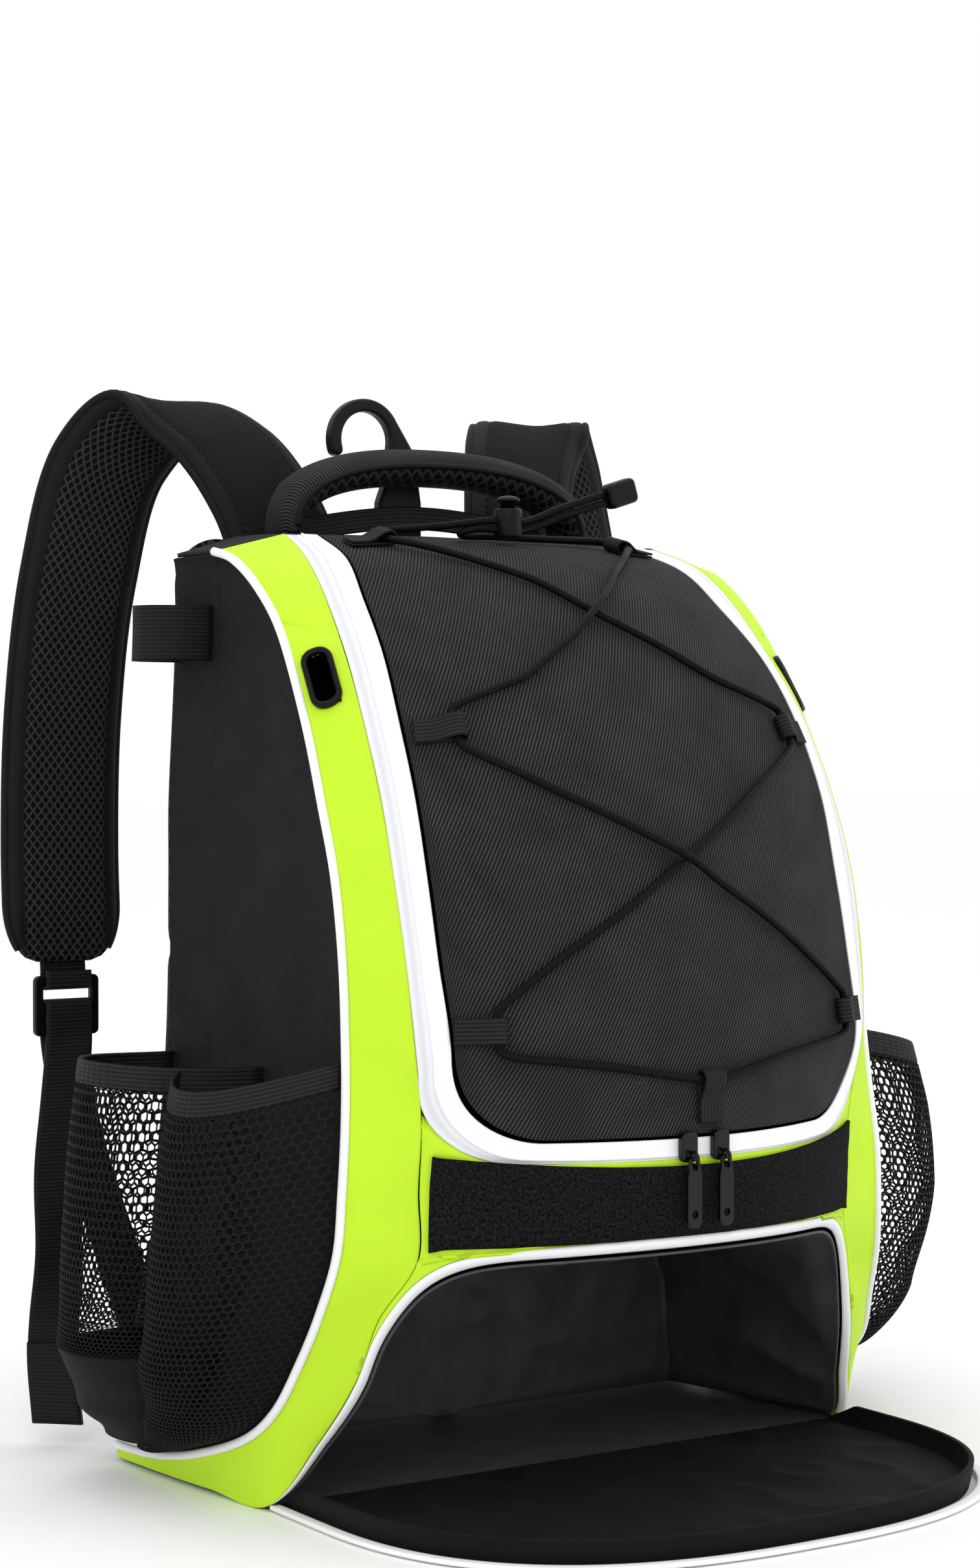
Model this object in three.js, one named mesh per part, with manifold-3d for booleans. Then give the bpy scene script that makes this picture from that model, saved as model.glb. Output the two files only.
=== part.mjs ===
import * as THREE from 'three';
import { mergeVertices } from 'three/addons/utils/BufferGeometryUtils.js';
import Module from 'manifold-3d';

// A backpack for two bats. Millimetres, +Z up, the front faces -Y, and x = 0 is its middle.
// The origin lies on the underside of the base, on the floor that the bag stands on.

const wasm = await Module();
wasm.setup();

// driving sizes of the body
const bodyHeight = 457;
const bodyDepth = 243;
const bodyHalfWidth = 152;
const backY = 105;
const backPadding = 12;
const padEdgeDrop = 5;
const backBottom = 4;
const backTopInset = 2;
const backCorner = 24;
const clothWall = 2;
const netWall = 1.5;
const seamGap = 0.3;
const zipSeam = 1.2;
const archSeam = 1.7;
const pipingRadius = 2.1;
const pipingRoom = pipingRadius + 1.3;

// front panel, its zip, the lower band and the shoe compartment
const panelBottom = 172;
const panelCorner = 40;
const zipBottom = 162;
const zipCorner = 40;
const stripTop = 159.5;
const stripTopRise = 6.5;
const stripBottom = 127;
const stripBottomRise = 2.5;
const stripHalfWidth = 121;
const stripThickness = 2;
const archTop = 125.5;
const archDrop = 7.5;
const archTape = 4;
const tunnelBackY = 88;
const tunnelHeight = 112;
const tunnelHalfWidth = 148;
const tunnelSag = 5;
const liningWall = 1.2;
const flapHalfWidth = 162;
const flapReach = 182;
const flapStraight = 44;
const flapThickness = 2.6;
const flapRim = 12;
const flapTape = 5;

// handle, hook and harness
const handleHalfSpan = 88;
const handleRise = 37;
const handleBandRise = 9;
const handleBandHeight = 12;
const handleWidth = 30;
const handleThickness = 19;
const hookRod = 4;
const hookRadius = 18;
const hookOffset = 21;
const hookNeckRise = 22;
const hookPlateHalf = 13;
const hookThickness = 7.5;
const hookX = -7;
const hookCentreRise = 54;
const hookFootDrop = 35;
const tabHalf = 29;
const tabHeight = 26;
const strapTipX = 171;
const strapStandOff = 77;
const strapDrop = 217;
const strapWidth = 62;
const strapThickness = 14;
const webbingWidth = 25;
const webbingThickness = 1.5;
const lockWidth = 36;
const lockHeight = 31;
const lockThickness = 4;
const lockBar = 5;
const lockMiddle = -1.5;
const lockInFront = 2.6;
const lockUnderTip = 22.5;
const tailTurn = 0.5;
const foldRoom = 0.8;

// side pockets and the bands that steady the bats
const pocketTop = 204;
const pocketRearY = 97;
const pocketSplit = 0.45;
const hemHeight = 12;
const hemThickness = 2.2;
const baseTop = 66;
const baseBottom = 14;
const ballPocketBottom = 15;
const batStrapDrop = 51;
const batStrapHeight = 27;
const batStrapReach = 33;
const batStrapFrontY = 66;
const batStrapRearY = 101;

// eyelets, cord, cord lock and zip pulls
const eyeletWidth = 20;
const eyeletHeight = 31;
const eyeletRim = 4.5;
const eyeletThickness = 4;
const eyeletHeightOnBody = 385;
const cordRadius = 1.9;
const cordSpan = 34;
const loopWidth = 12;
const loopLength = 20;
const loopWebbing = 1.1;
const loopRoom = 1.25;
const cordOverCloth = 1.9;
const barrelRadius = 7;
const barrelHeight = 15;
const barrelDepthShare = 0.321;
const barrelDrop = 1.5;
const slotBottom = 1.8;
const slotTop = 11;
const cordRoom = 4.6;
const cordEndLength = 18;
const cordEndHeight = 13;
const cordEndLean = 0.3;
const plungerTravel = 3;
const plungerRadius = 4;
const sliderWidth = 9;
const sliderLength = 14;
const sliderThickness = 4.5;
const pullWidth = 8;
const pullLength = 33;
const pullThickness = 3;
const pullX = [-13, 5];
const pullPivotRise = 1;
const lowLoopRise = 26.8;
const lowLoopBaseRise = 4.2;
const pivotLift = 2.3;

// Sections of the body from the top seam down to the lower band. Each column is a point
// [across, depth, up]: shares of the half width from the middle, of the depth from the back,
// and of the height from the floor. The crown column is the middle, so it has no first share.
const sections = [
  { pipe: [0.987, 0.177, 0.976], band: [0.737, 0.193, 0.998], panel: [0.612, 0.193, 0.998], crown: [0.193, 1.0] },
  { pipe: [0.974, 0.251, 0.965], band: [0.783, 0.317, 0.974], panel: [0.664, 0.366, 0.967], crown: [0.399, 0.98] },
  { pipe: [0.967, 0.342, 0.934], band: [0.809, 0.42, 0.934], panel: [0.704, 0.473, 0.921], crown: [0.547, 0.941] },
  { pipe: [0.967, 0.436, 0.884], band: [0.836, 0.535, 0.867], panel: [0.743, 0.584, 0.864], crown: [0.679, 0.875] },
  { pipe: [0.98, 0.543, 0.792], band: [0.862, 0.626, 0.801], panel: [0.77, 0.667, 0.799], crown: [0.794, 0.801] },
  { pipe: [0.993, 0.621, 0.705], band: [0.875, 0.708, 0.718], panel: [0.783, 0.741, 0.718], crown: [0.872, 0.718] },
  { pipe: [0.993, 0.667, 0.635], band: [0.882, 0.765, 0.635], panel: [0.783, 0.786, 0.635], crown: [0.926, 0.635] },
  { pipe: [0.993, 0.695, 0.551], band: [0.875, 0.798, 0.556], panel: [0.783, 0.823, 0.556], crown: [0.967, 0.556] },
  { pipe: [1.0, 0.712, 0.464], band: [0.862, 0.819, 0.466], panel: [0.776, 0.86, 0.466], crown: [0.992, 0.466] },
  { pipe: [1.013, 0.724, 0.394], band: [0.829, 0.807, 0.394], panel: [0.77, 0.835, 0.394], crown: [1.0, 0.394] },
  { pipe: [1.033, 0.733, 0.328], band: [0.822, 0.79, 0.328], panel: [0.763, 0.823, 0.328], crown: [1.0, 0.328] },
  { pipe: [1.046, 0.728, 0.267], band: [0.822, 0.786, 0.258], panel: [0.763, 0.819, 0.265], crown: [0.992, 0.278] },
];

// The gusset goes on below the lower band: its band column is the edge of the shoe arch
// down to the floor, then the long edge of the base.
const footSections = [
  { pipe: [1.076, 0.702, 0.212], band: [0.908, 0.737, 0.199] },
  { pipe: [1.105, 0.66, 0.16], band: [0.961, 0.708, 0.136] },
  { pipe: [1.145, 0.605, 0.105], band: [1.033, 0.646, 0.072] },
  { pipe: [1.171, 0.51, 0.068], band: [1.125, 0.556, 0.004] },
  { pipe: [1.204, 0.342, 0.038], band: [1.164, 0.374, 0.003] },
  { pipe: [1.214, 0.185, 0.023], band: [1.191, 0.198, 0.003] },
  { pipe: [1.217, 0.016, 0.0175], band: [1.207, 0.016, 0.003] },
];

// How far the side pockets stand out from the side, from the hem down: shares of the pocket
// height from the floor, and of the pocket reach.
const pocketReach = 71;
const pocketRows = [
  { height: 1.0, bat: 0.97, ball: 0.86 },
  { height: 0.8, bat: 1.0, ball: 0.97 },
  { height: 0.6, bat: 1.0, ball: 1.0 },
  { height: 0.33, bat: 0.87, ball: 0.8 },
  { height: 0.18, bat: 0.58, ball: 0.48 },
  { height: 0.08, bat: 0.17, ball: 0.14 },
  { height: 0.066, bat: 0.04, ball: 0.03 },
];

// The padded strap of the right side, from its seam on the back to its lower tip: shares of the
// tip's distance from the middle, of the stand-off behind the back pad, and of the drop from the
// top of the body to the tip. Above the top the drop is negative.
const strapPath = [
  { across: 0.4094, behind: 0.0377, drop: 0.1152 },
  { across: 0.4561, behind: 0.2208, drop: -0.0783 },
  { across: 0.5556, behind: 0.5065, drop: -0.2442 },
  { across: 0.6842, behind: 0.7922, drop: -0.3088 },
  { across: 0.8187, behind: 0.961, drop: -0.1982 },
  { across: 0.9181, behind: 1.0, drop: 0.0783 },
  { across: 0.9708, behind: 1.0, drop: 0.4009 },
  { across: 0.9942, behind: 0.9481, drop: 0.7235 },
  { across: 1.0, behind: 0.8701, drop: 1.0 },
];

// The webbing of the right side, from the foot of the bag up to the ladder lock, and from the
// lock down again as the loose tail. The last share is the height, of the lock's own height.
const webbingUp = [
  { across: 0.8772, behind: 0.0143, up: 0.1563 },
  { across: 0.924, behind: 0.2727, up: 0.3678 },
  { across: 0.9825, behind: 0.6883, up: 0.6897 },
];
const webbingDown = [
  { across: 1.0585, behind: 0.6364, up: 0.6897 },
  { across: 1.1111, behind: 0.4935, up: 0.3678 },
  { across: 1.117, behind: 0.4416, up: 0.0414 },
];

// The seven webbing loops: the row and x at which the cord passes each, and the row and x that
// its base lies toward. The lowest loop has no rows here, since it stands over the zip.
const cordLoops = [
  { row: 0.55, x: -70, baseRow: 0.55, baseX: -92 },
  { row: 4.2, x: -95, baseRow: 4.25, baseX: -117 },
  { row: 7.75, x: -99, baseRow: 7.75, baseX: -119 },
  { x: 0, baseX: 0 },
  { row: 7.75, x: 99, baseRow: 7.75, baseX: 119 },
  { row: 4.2, x: 95, baseRow: 4.25, baseX: 117 },
  { row: 0.55, x: 70, baseRow: 0.55, baseX: 92 },
];

// The elastic cord, from the end clip through the lock, over the front panel through the loops,
// and back through the lock to the clip. A step is a free point {x, back, rise}, measured from
// the foot of the lock's barrel, or a point over the cloth {row, x, lift}, whose lift is the clear
// gap under the cord. At the lowest loop the row is given as {low}, rows from that loop.
const cordRoute = [
  { x: 57.3, back: -3, rise: 24.6 },
  { x: 32, back: -1, rise: 16.5 },
  { x: 10, back: 0, rise: 8.7 },
  { x: 0, back: 0, rise: 8.7 },
  { x: -10, back: 0, rise: 8.7 },
  { x: -34, back: 4, rise: 5.5 },
  { row: 0.26, x: -66, lift: 2.1 },
  { row: 0.33, x: -70, lift: 1.9 },
  { row: 0.77, x: -70, lift: 1.9 },
  { row: 0.86, x: -66, lift: 1.8 },
  { row: 1.5, x: -42, lift: 0.7 },
  { row: 2.55, x: 0, lift: 0.7 },
  { row: 3.5, x: 55, lift: 0.7 },
  { row: 3.9, x: 91, lift: 1.8 },
  { row: 3.98, x: 95, lift: 1.9 },
  { row: 4.42, x: 95, lift: 1.9 },
  { row: 4.5, x: 91, lift: 1.8 },
  { row: 4.95, x: 58, lift: 0.7 },
  { row: 5.8, x: 0, lift: 0.7 },
  { row: 7.0, x: -70, lift: 0.7 },
  { row: 7.48, x: -96, lift: 1.8 },
  { row: 7.55, x: -99, lift: 1.9 },
  { row: 7.95, x: -99, lift: 1.9 },
  { row: 8.03, x: -94, lift: 1.8 },
  { low: -0.22, x: -50, lift: 0.7 },
  { low: -0.02, x: -11, lift: 1.8 },
  { low: 0, x: 0, lift: 1.9 },
  { low: -0.02, x: 11, lift: 1.8 },
  { low: -0.22, x: 50, lift: 0.7 },
  { row: 8.03, x: 94, lift: 1.8 },
  { row: 7.95, x: 99, lift: 1.9 },
  { row: 7.55, x: 99, lift: 1.9 },
  { row: 7.48, x: 96, lift: 1.8 },
  { row: 7.0, x: 70, lift: 0.7 },
  { row: 6.1, x: 17, lift: 3 },
  { row: 5.8, x: 0, lift: 5.3 },
  { row: 5.5, x: -19, lift: 3 },
  { row: 4.95, x: -58, lift: 0.7 },
  { row: 4.5, x: -91, lift: 1.8 },
  { row: 4.42, x: -95, lift: 1.9 },
  { row: 3.98, x: -95, lift: 1.9 },
  { row: 3.9, x: -91, lift: 1.8 },
  { row: 3.5, x: -55, lift: 0.7 },
  { row: 2.9, x: -18, lift: 3 },
  { row: 2.55, x: 0, lift: 5.3 },
  { row: 2.2, x: 16, lift: 3 },
  { row: 1.5, x: 42, lift: 0.7 },
  { row: 0.86, x: 66, lift: 1.8 },
  { row: 0.77, x: 70, lift: 1.9 },
  { row: 0.33, x: 70, lift: 1.9 },
  { row: 0.27, x: 64, lift: 1.8 },
  { row: 0.32, x: 30, lift: 1 },
  { row: 0.32, x: 0, lift: 1 },
  { row: 0.4, x: -20, lift: 1.2 },
  { x: -26, back: 3, rise: 2.1 },
  { x: -19, back: 0.4, rise: 4.2 },
  { x: -10, back: 0, rise: 4.2 },
  { x: 0, back: 0, rise: 4.2 },
  { x: 10, back: 0, rise: 4.2 },
  { x: 32, back: -1, rise: 12 },
  { x: 58.7, back: -3, rise: 20.4 },
];

const cloth = 0x262629;
const colours = {
  front: { color: 0x2a2a2c, roughness: 0.85, metalness: 0 },
  side: { color: 0x262628, roughness: 0.9, metalness: 0 },
  lime: { color: 0xcdf52f, roughness: 0.7, metalness: 0 },
  white: { color: 0xf4f4f8, roughness: 0.6, metalness: 0 },
  lining: { color: 0x3a3a3d, roughness: 0.6, metalness: 0 },
  net: { color: 0x1c1c1d, roughness: 0.9, metalness: 0 },
  webbing: { color: 0x1a1a1b, roughness: 0.8, metalness: 0 },
  pad: { color: cloth, roughness: 0.9, metalness: 0 },
  plastic: { color: 0x161617, roughness: 0.4, metalness: 0 },
  metal: { color: 0x1b1b1c, roughness: 0.3, metalness: 0.8 },
};

const group = new THREE.Group();

function add(name, geometry, look) {
  const mesh = new THREE.Mesh(geometry, new THREE.MeshStandardMaterial(look));
  mesh.name = name;
  group.add(mesh);
  return mesh;
}

function vec(x, y, z) {
  return new THREE.Vector3(x, y, z);
}

// A geometry with position only, its vertices merged, turned so that its faces point out.
function closedGeometry(positions, triangles) {
  let geometry = new THREE.BufferGeometry();
  geometry.setAttribute('position', new THREE.Float32BufferAttribute(positions, 3));
  geometry.setIndex(triangles);
  geometry = mergeVertices(geometry, 1e-4);
  const p = geometry.attributes.position;
  const index = geometry.index;
  let volume = 0;
  const a = vec(0, 0, 0);
  const b = vec(0, 0, 0);
  const c = vec(0, 0, 0);
  for (let i = 0; i < index.count; i += 3) {
    a.fromBufferAttribute(p, index.getX(i));
    b.fromBufferAttribute(p, index.getX(i + 1));
    c.fromBufferAttribute(p, index.getX(i + 2));
    volume += a.dot(b.cross(c));
  }
  if (volume < 0) {
    for (let i = 0; i < index.count; i += 3) {
      const first = index.getX(i);
      index.setX(i, index.getX(i + 1));
      index.setX(i + 1, first);
    }
  }
  geometry.computeVertexNormals();
  return geometry;
}

// A closed wall under a surface(u, v), u and v from 0 to 1. The wall goes inward from the
// surface, toward the heart. With a middle wall it goes half to each side.
function wall(surface, columns, rows, thickness, options = {}) {
  const { heart = vec(0, 0, 230), middle = false, spreadU = (u) => u, spreadV = (v) => v } = options;
  const nodes = [];
  const step = 1e-3;
  let away = 0;
  for (let j = 0; j <= rows; j += 1) {
    for (let i = 0; i <= columns; i += 1) {
      const u = spreadU(i / columns);
      const v = spreadV(j / rows);
      const here = surface(u, v);
      const alongU = surface(Math.min(u + step, 1), v).sub(surface(Math.max(u - step, 0), v));
      const alongV = surface(u, Math.min(v + step, 1)).sub(surface(u, Math.max(v - step, 0)));
      const normal = alongU.cross(alongV).normalize();
      away += normal.dot(here.clone().sub(heart));
      nodes.push({ here, normal, thick: typeof thickness === 'function' ? thickness(u, v) : thickness });
    }
  }
  const turn = away < 0 ? -1 : 1;
  const outer = nodes.map(({ here, normal, thick }) => (
    here.clone().addScaledVector(normal, middle ? thick / 2 : 0)));
  const inner = nodes.map(({ here, normal, thick }) => (
    here.clone().addScaledVector(normal, middle ? -thick / 2 : -thick * turn)));
  const across = columns + 1;
  const count = outer.length;
  const positions = [...outer, ...inner].flatMap((p) => [p.x, p.y, p.z]);
  const triangles = [];
  const quad = (a, b, c, d) => triangles.push(a, b, c, a, c, d);
  for (let j = 0; j < rows; j += 1) {
    for (let i = 0; i < columns; i += 1) {
      const k = j * across + i;
      quad(k, k + 1, k + across + 1, k + across);
      quad(count + k, count + k + across, count + k + across + 1, count + k + 1);
    }
  }
  for (let i = 0; i < columns; i += 1) {
    const last = rows * across + i;
    quad(i + 1, i, count + i, count + i + 1);
    quad(last, last + 1, count + last + 1, count + last);
  }
  for (let j = 0; j < rows; j += 1) {
    const left = j * across;
    const right = left + columns;
    quad(left, left + across, count + left + across, count + left);
    quad(right + across, right, count + right, count + right + across);
  }
  return closedGeometry(positions, triangles);
}

function plain(geometry) {
  const bare = geometry.clone();
  for (const name of Object.keys(bare.attributes)) {
    if (name !== 'position') bare.deleteAttribute(name);
  }
  return mergeVertices(bare, 1e-4);
}

function solidOf(geometry) {
  const bare = plain(geometry);
  return new wasm.Manifold(new wasm.Mesh({
    numProp: 3,
    vertProperties: new Float32Array(bare.attributes.position.array),
    triVerts: new Uint32Array(bare.index.array),
  }));
}

function geometryOf(solid) {
  const mesh = solid.getMesh();
  const geometry = new THREE.BufferGeometry();
  geometry.setAttribute('position', new THREE.BufferAttribute(new Float32Array(mesh.vertProperties), 3));
  geometry.setIndex(new THREE.BufferAttribute(new Uint32Array(mesh.triVerts), 1));
  geometry.computeVertexNormals();
  return geometry;
}

// A curve through points, by index: at(r) is point number r, with smooth values between.
function rail(points) {
  const curve = new THREE.CatmullRomCurve3(points, false, 'catmullrom', 0.5);
  const last = points.length - 1;
  return (r) => curve.getPoint(Math.min(Math.max(r / last, 0), 1));
}

function place([across, depth, up]) {
  return vec(across * bodyHalfWidth, backY - depth * bodyDepth, up * bodyHeight);
}

const allSections = [...sections, ...footSections];
const lastRow = sections.length - 1;
const archRow = lastRow + 4;
const footRow = allSections.length - 1;
const pipeRail = rail(allSections.map((s) => place(s.pipe)));
const bandRail = rail(allSections.map((s) => place(s.band)));
const panelRail = rail(sections.map((s) => place(s.panel)));
const crownRail = rail(sections.map((s) => place([0, ...s.crown])));

// The front of the body at row r and x: crowned across the panel, then straight to the
// zip's outer edge and on to the piping.
function body(r, x) {
  const far = Math.abs(x);
  const panel = panelRail(r);
  const band = bandRail(r);
  const pipe = pipeRail(r);
  let point;
  if (far <= panel.x) point = crownRail(r).lerp(panel, (far / panel.x) ** 2);
  else if (far <= band.x) point = panel.lerp(band, (far - panel.x) / (band.x - panel.x));
  else point = band.lerp(pipe, (far - band.x) / (pipe.x - band.x));
  point.x = x;
  return point;
}

function bodyNormal(r, x) {
  const e = 0.02;
  const down = body(r + e, x).sub(body(r - e, x));
  const side = body(r, x + 1).sub(body(r, x - 1));
  const normal = down.cross(side).normalize();
  return normal.y > 0 && normal.z < 0 ? normal.negate() : normal;
}

// The row at which a rail comes down to the height z.
function rowAt(curve, z, from, to) {
  let high = from;
  let low = to;
  for (let k = 0; k < 30; k += 1) {
    const mid = (high + low) / 2;
    if (curve(mid).z > z) high = mid;
    else low = mid;
  }
  return (high + low) / 2;
}

function frontRow(z) {
  return rowAt(crownRail, z, 3, lastRow);
}

// Height of a rounded lower edge that is level in the middle and turns up at its two corners.
function roundedEdge(x, halfWidth, bottom, corner) {
  const over = Math.min(Math.max(Math.abs(x) - (halfWidth - corner), 0), corner);
  return bottom + corner - Math.sqrt(corner ** 2 - over ** 2);
}

function archHeight(x) {
  return archTop - archDrop * (Math.abs(x) / bandRail(lastRow).x) ** 6;
}

const panelHalf = panelRail(frontRow(panelBottom + panelCorner)).x;
const zipHalf = bandRail(frontRow(zipBottom + zipCorner)).x;
const bandHalf = bandRail(lastRow).x;
const closeToEnds = (s) => 0.5 - 0.5 * Math.cos(Math.PI * s);
const lowLoopRow = frontRow(panelBottom + lowLoopRise);
const lowLoopBaseRow = frontRow(panelBottom + lowLoopBaseRise);
const barrel = vec(0, backY - barrelDepthShare * bodyDepth, bodyHeight - barrelDrop);

// where the strap's tip and the ladder lock lie
const padRear = backY + backPadding;
const strapTip = strapPath[strapPath.length - 1];
const lockY = padRear + strapTip.behind * strapStandOff - lockInFront;
const lockZ = bodyHeight - strapTip.drop * strapDrop - lockUnderTip;
const pullPivotZ = zipBottom + pullPivotRise;
const strapPoints = strapPath.map(({ across, behind, drop }) => ({
  x: across * strapTipX,
  y: padRear + behind * strapStandOff,
  z: bodyHeight - drop * strapDrop,
}));
const webbingPoint = ({ across, behind, up }) => ({
  x: across * strapTipX,
  y: padRear + behind * strapStandOff,
  z: up * lockZ,
});

function makeFrontPanel() {
  const surface = (u, v) => {
    const side = 2 * u - 1;
    const low = frontRow(roundedEdge(side * panelHalf, panelHalf, panelBottom, panelCorner) + zipSeam);
    const r = 0.06 + (low - 0.06) * v;
    const edge = panelRail(r).x - zipSeam;
    return body(r, side * edge);
  };
  add('front_panel', wall(surface, 10, 12, clothWall, { spreadU: closeToEnds }), colours.front);
}

// The zip runs down one side of the panel, round both lower corners and up the other side.
function zipPoint(p, outward) {
  const side = p < 0.5 ? -1 : 1;
  const q = 1 - Math.abs(2 * p - 1);
  const sideShare = 0.55;
  const cornerShare = 0.25;
  const half = outward ? zipHalf : panelHalf;
  const corner = outward ? zipCorner : panelCorner;
  const bottom = outward ? zipBottom : panelBottom;
  const turnRow = frontRow(bottom + corner);
  if (q <= sideShare) {
    const r = 0.06 + (turnRow - 0.06) * (q / sideShare);
    return { r, x: side * (outward ? bandRail(r).x : panelRail(r).x) };
  }
  if (q <= sideShare + cornerShare) {
    const angle = ((q - sideShare) / cornerShare) * (Math.PI / 2);
    const x = half - corner + corner * Math.cos(angle);
    return { r: frontRow(bottom + corner - corner * Math.sin(angle)), x: side * x };
  }
  const left = (1 - q) / (1 - sideShare - cornerShare);
  return { r: frontRow(bottom), x: side * (half - corner) * left };
}

function makeZipperBand() {
  const surface = (u, v) => {
    const inside = zipPoint(u, false);
    const outside = zipPoint(u, true);
    const a = body(inside.r, inside.x);
    const b = body(outside.r, outside.x);
    const wide = a.distanceTo(b);
    const share = (seamGap + v * (wide - 2 * seamGap)) / wide;
    return a.lerp(b, share);
  };
  add('zipper_band', wall(surface, 40, 1, clothWall), colours.white);
}

function makeLowerBand() {
  const surface = (u, v) => {
    const side = 2 * u - 1;
    const top = roundedEdge(side * zipHalf * 0.96, zipHalf, zipBottom, zipCorner) - seamGap - 0.4;
    const bottom = archHeight(side * bandHalf) + zipSeam;
    const r = frontRow(top + (bottom - top) * v);
    return body(r, side * (bandRail(r).x - 1));
  };
  add('lower_band', wall(surface, 14, 3, clothWall, { spreadU: closeToEnds }), colours.lime);
}

// A point over the cloth, a lift out from its face.
function overBody(r, x, lift) {
  return body(r, x).addScaledVector(bodyNormal(r, x), lift);
}

function makeStrip() {
  const surface = (u, v) => {
    const x = (2 * u - 1) * stripHalfWidth;
    const turnUp = (x / stripHalfWidth) ** 2;
    const top = stripTop + stripTopRise * turnUp;
    const bottom = stripBottom + stripBottomRise * turnUp;
    return overBody(frontRow(top + (bottom - top) * v), x, stripThickness + zipSeam);
  };
  const strip = wall(surface, 14, 2, stripThickness, { spreadU: closeToEnds });
  add('hook_loop_strip', strip, colours.webbing);
}

const pipeToEdge = (r, side, u, pipeRoom, edgeRoom) => {
  const a = pipeRail(r);
  const b = bandRail(r);
  const wide = a.distanceTo(b);
  const start = Math.min(pipeRoom, wide * 0.7);
  const end = Math.min(edgeRoom(r), wide * 0.3);
  const share = (start + u * (wide - start - end)) / wide;
  const point = a.lerp(b, share);
  point.x *= side;
  return point;
};

// The gusset keeps a seam gap to the zip, the lower band, the arch's tape and the base.
function edgeRoom() {
  return archSeam;
}

function eyeletFrame(side) {
  const r = rowAt(pipeRail, eyeletHeightOnBody, 0, lastRow);
  const centre = pipeToEdge(r, side, 0.52, pipingRoom, edgeRoom);
  const down = pipeToEdge(r + 0.3, side, 0.52, pipingRoom, edgeRoom)
    .sub(pipeToEdge(r - 0.3, side, 0.52, pipingRoom, edgeRoom)).normalize();
  const toward = pipeToEdge(r, side, 1, pipingRoom, edgeRoom).sub(pipeToEdge(r, side, 0, pipingRoom, edgeRoom));
  const normal = down.clone().cross(toward).normalize();
  if (normal.y > 0) normal.negate();
  const up = down.clone().negate();
  const across = up.clone().cross(normal).normalize();
  return new THREE.Matrix4().makeBasis(across, up, normal).setPosition(centre);
}

function stadium(shape, width, height, reverse = false) {
  const radius = width / 2;
  const straight = height / 2 - radius;
  shape.absarc(0, straight, radius, reverse ? Math.PI : 0, reverse ? 0 : Math.PI, reverse);
  shape.absarc(0, -straight, radius, reverse ? 0 : Math.PI, reverse ? Math.PI : 0, reverse);
  shape.closePath();
  return shape;
}

function eyeletGeometry() {
  const outline = stadium(new THREE.Shape(), eyeletWidth, eyeletHeight);
  outline.holes.push(stadium(new THREE.Path(), eyeletWidth - 2 * eyeletRim - 1.5, eyeletHeight - 2 * eyeletRim));
  const body3d = new THREE.ExtrudeGeometry(outline, {
    depth: eyeletThickness, bevelEnabled: false, curveSegments: 5,
  });
  return body3d.translate(0, 0, -eyeletThickness / 2 + 0.4);
}

function makeGusset(name, side) {
  const surface = (u, v) => pipeToEdge(0.06 + (footRow - 0.08 - 0.06) * v, side, u, pipingRoom, edgeRoom);
  const sheet = wall(surface, 1, 26, clothWall);
  const hole = new THREE.ExtrudeGeometry(
    stadium(new THREE.Shape(), eyeletWidth + 2 * seamGap, eyeletHeight + 2 * seamGap),
    { depth: 20, bevelEnabled: false, curveSegments: 5 },
  ).translate(0, 0, -10);
  const frame = eyeletFrame(side);
  const cut = solidOf(sheet).subtract(solidOf(hole.applyMatrix4(frame)));
  add(`gusset_${name}`, geometryOf(cut), colours.lime);
  const ring = add(`eyelet_${name}`, eyeletGeometry(), colours.plastic);
  ring.applyMatrix4(frame);
}

function makeSidePanel(name, side) {
  const surface = (u, v) => {
    const r = 0.1 + (footRow - 1.1) * v;
    const front = pipeRail(r);
    const down = pipeRail(r + 0.05).sub(pipeRail(r - 0.05)).setX(0).normalize();
    front.add(vec(0, -down.z, down.y).multiplyScalar(pipingRoom));
    const rear = backY - 0.8;
    return vec(side * sideXAt(front.z), rear + (front.y - rear) * u, front.z);
  };
  add(`side_panel_${name}`, wall(surface, 2, 24, clothWall), colours.side);
}

// A round cord or piping along points, made as an extrusion of a polygon.
function polygonAlong(curve, radius, sides, steps) {
  const section = new THREE.Shape();
  for (let k = 0; k < sides; k += 1) {
    const angle = (2 * Math.PI * k) / sides;
    const x = radius * Math.cos(angle);
    const y = radius * Math.sin(angle);
    if (k === 0) section.moveTo(x, y);
    else section.lineTo(x, y);
  }
  section.closePath();
  return new THREE.ExtrudeGeometry(section, { steps, extrudePath: curve, bevelEnabled: false });
}

function makePiping(name, side) {
  const points = [];
  for (let r = 0.1; r < footRow - 0.1; r += 0.5) {
    const p = pipeRail(r);
    points.push(vec(side * p.x, p.y, p.z));
  }
  const curve = new THREE.CatmullRomCurve3(points, false, 'centripetal');
  add(`piping_${name}`, polygonAlong(curve, pipingRadius, 5, 34), colours.white);
}

function sideXAt(z) {
  return pipeRail(rowAt(pipeRail, z, 0, footRow)).x;
}

function pipeYAt(z) {
  return pipeRail(rowAt(pipeRail, z, 0, footRow)).y;
}

// How far behind the piping's middle line the sewn edge of a pocket stays at the height z.
function pipeInset(z) {
  const r = rowAt(pipeRail, z, 0, footRow);
  const down = pipeRail(r + 0.1).sub(pipeRail(r - 0.1)).setX(0).normalize();
  return (pipingRoom + seamGap) / Math.max(-down.z, 0.15);
}

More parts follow.
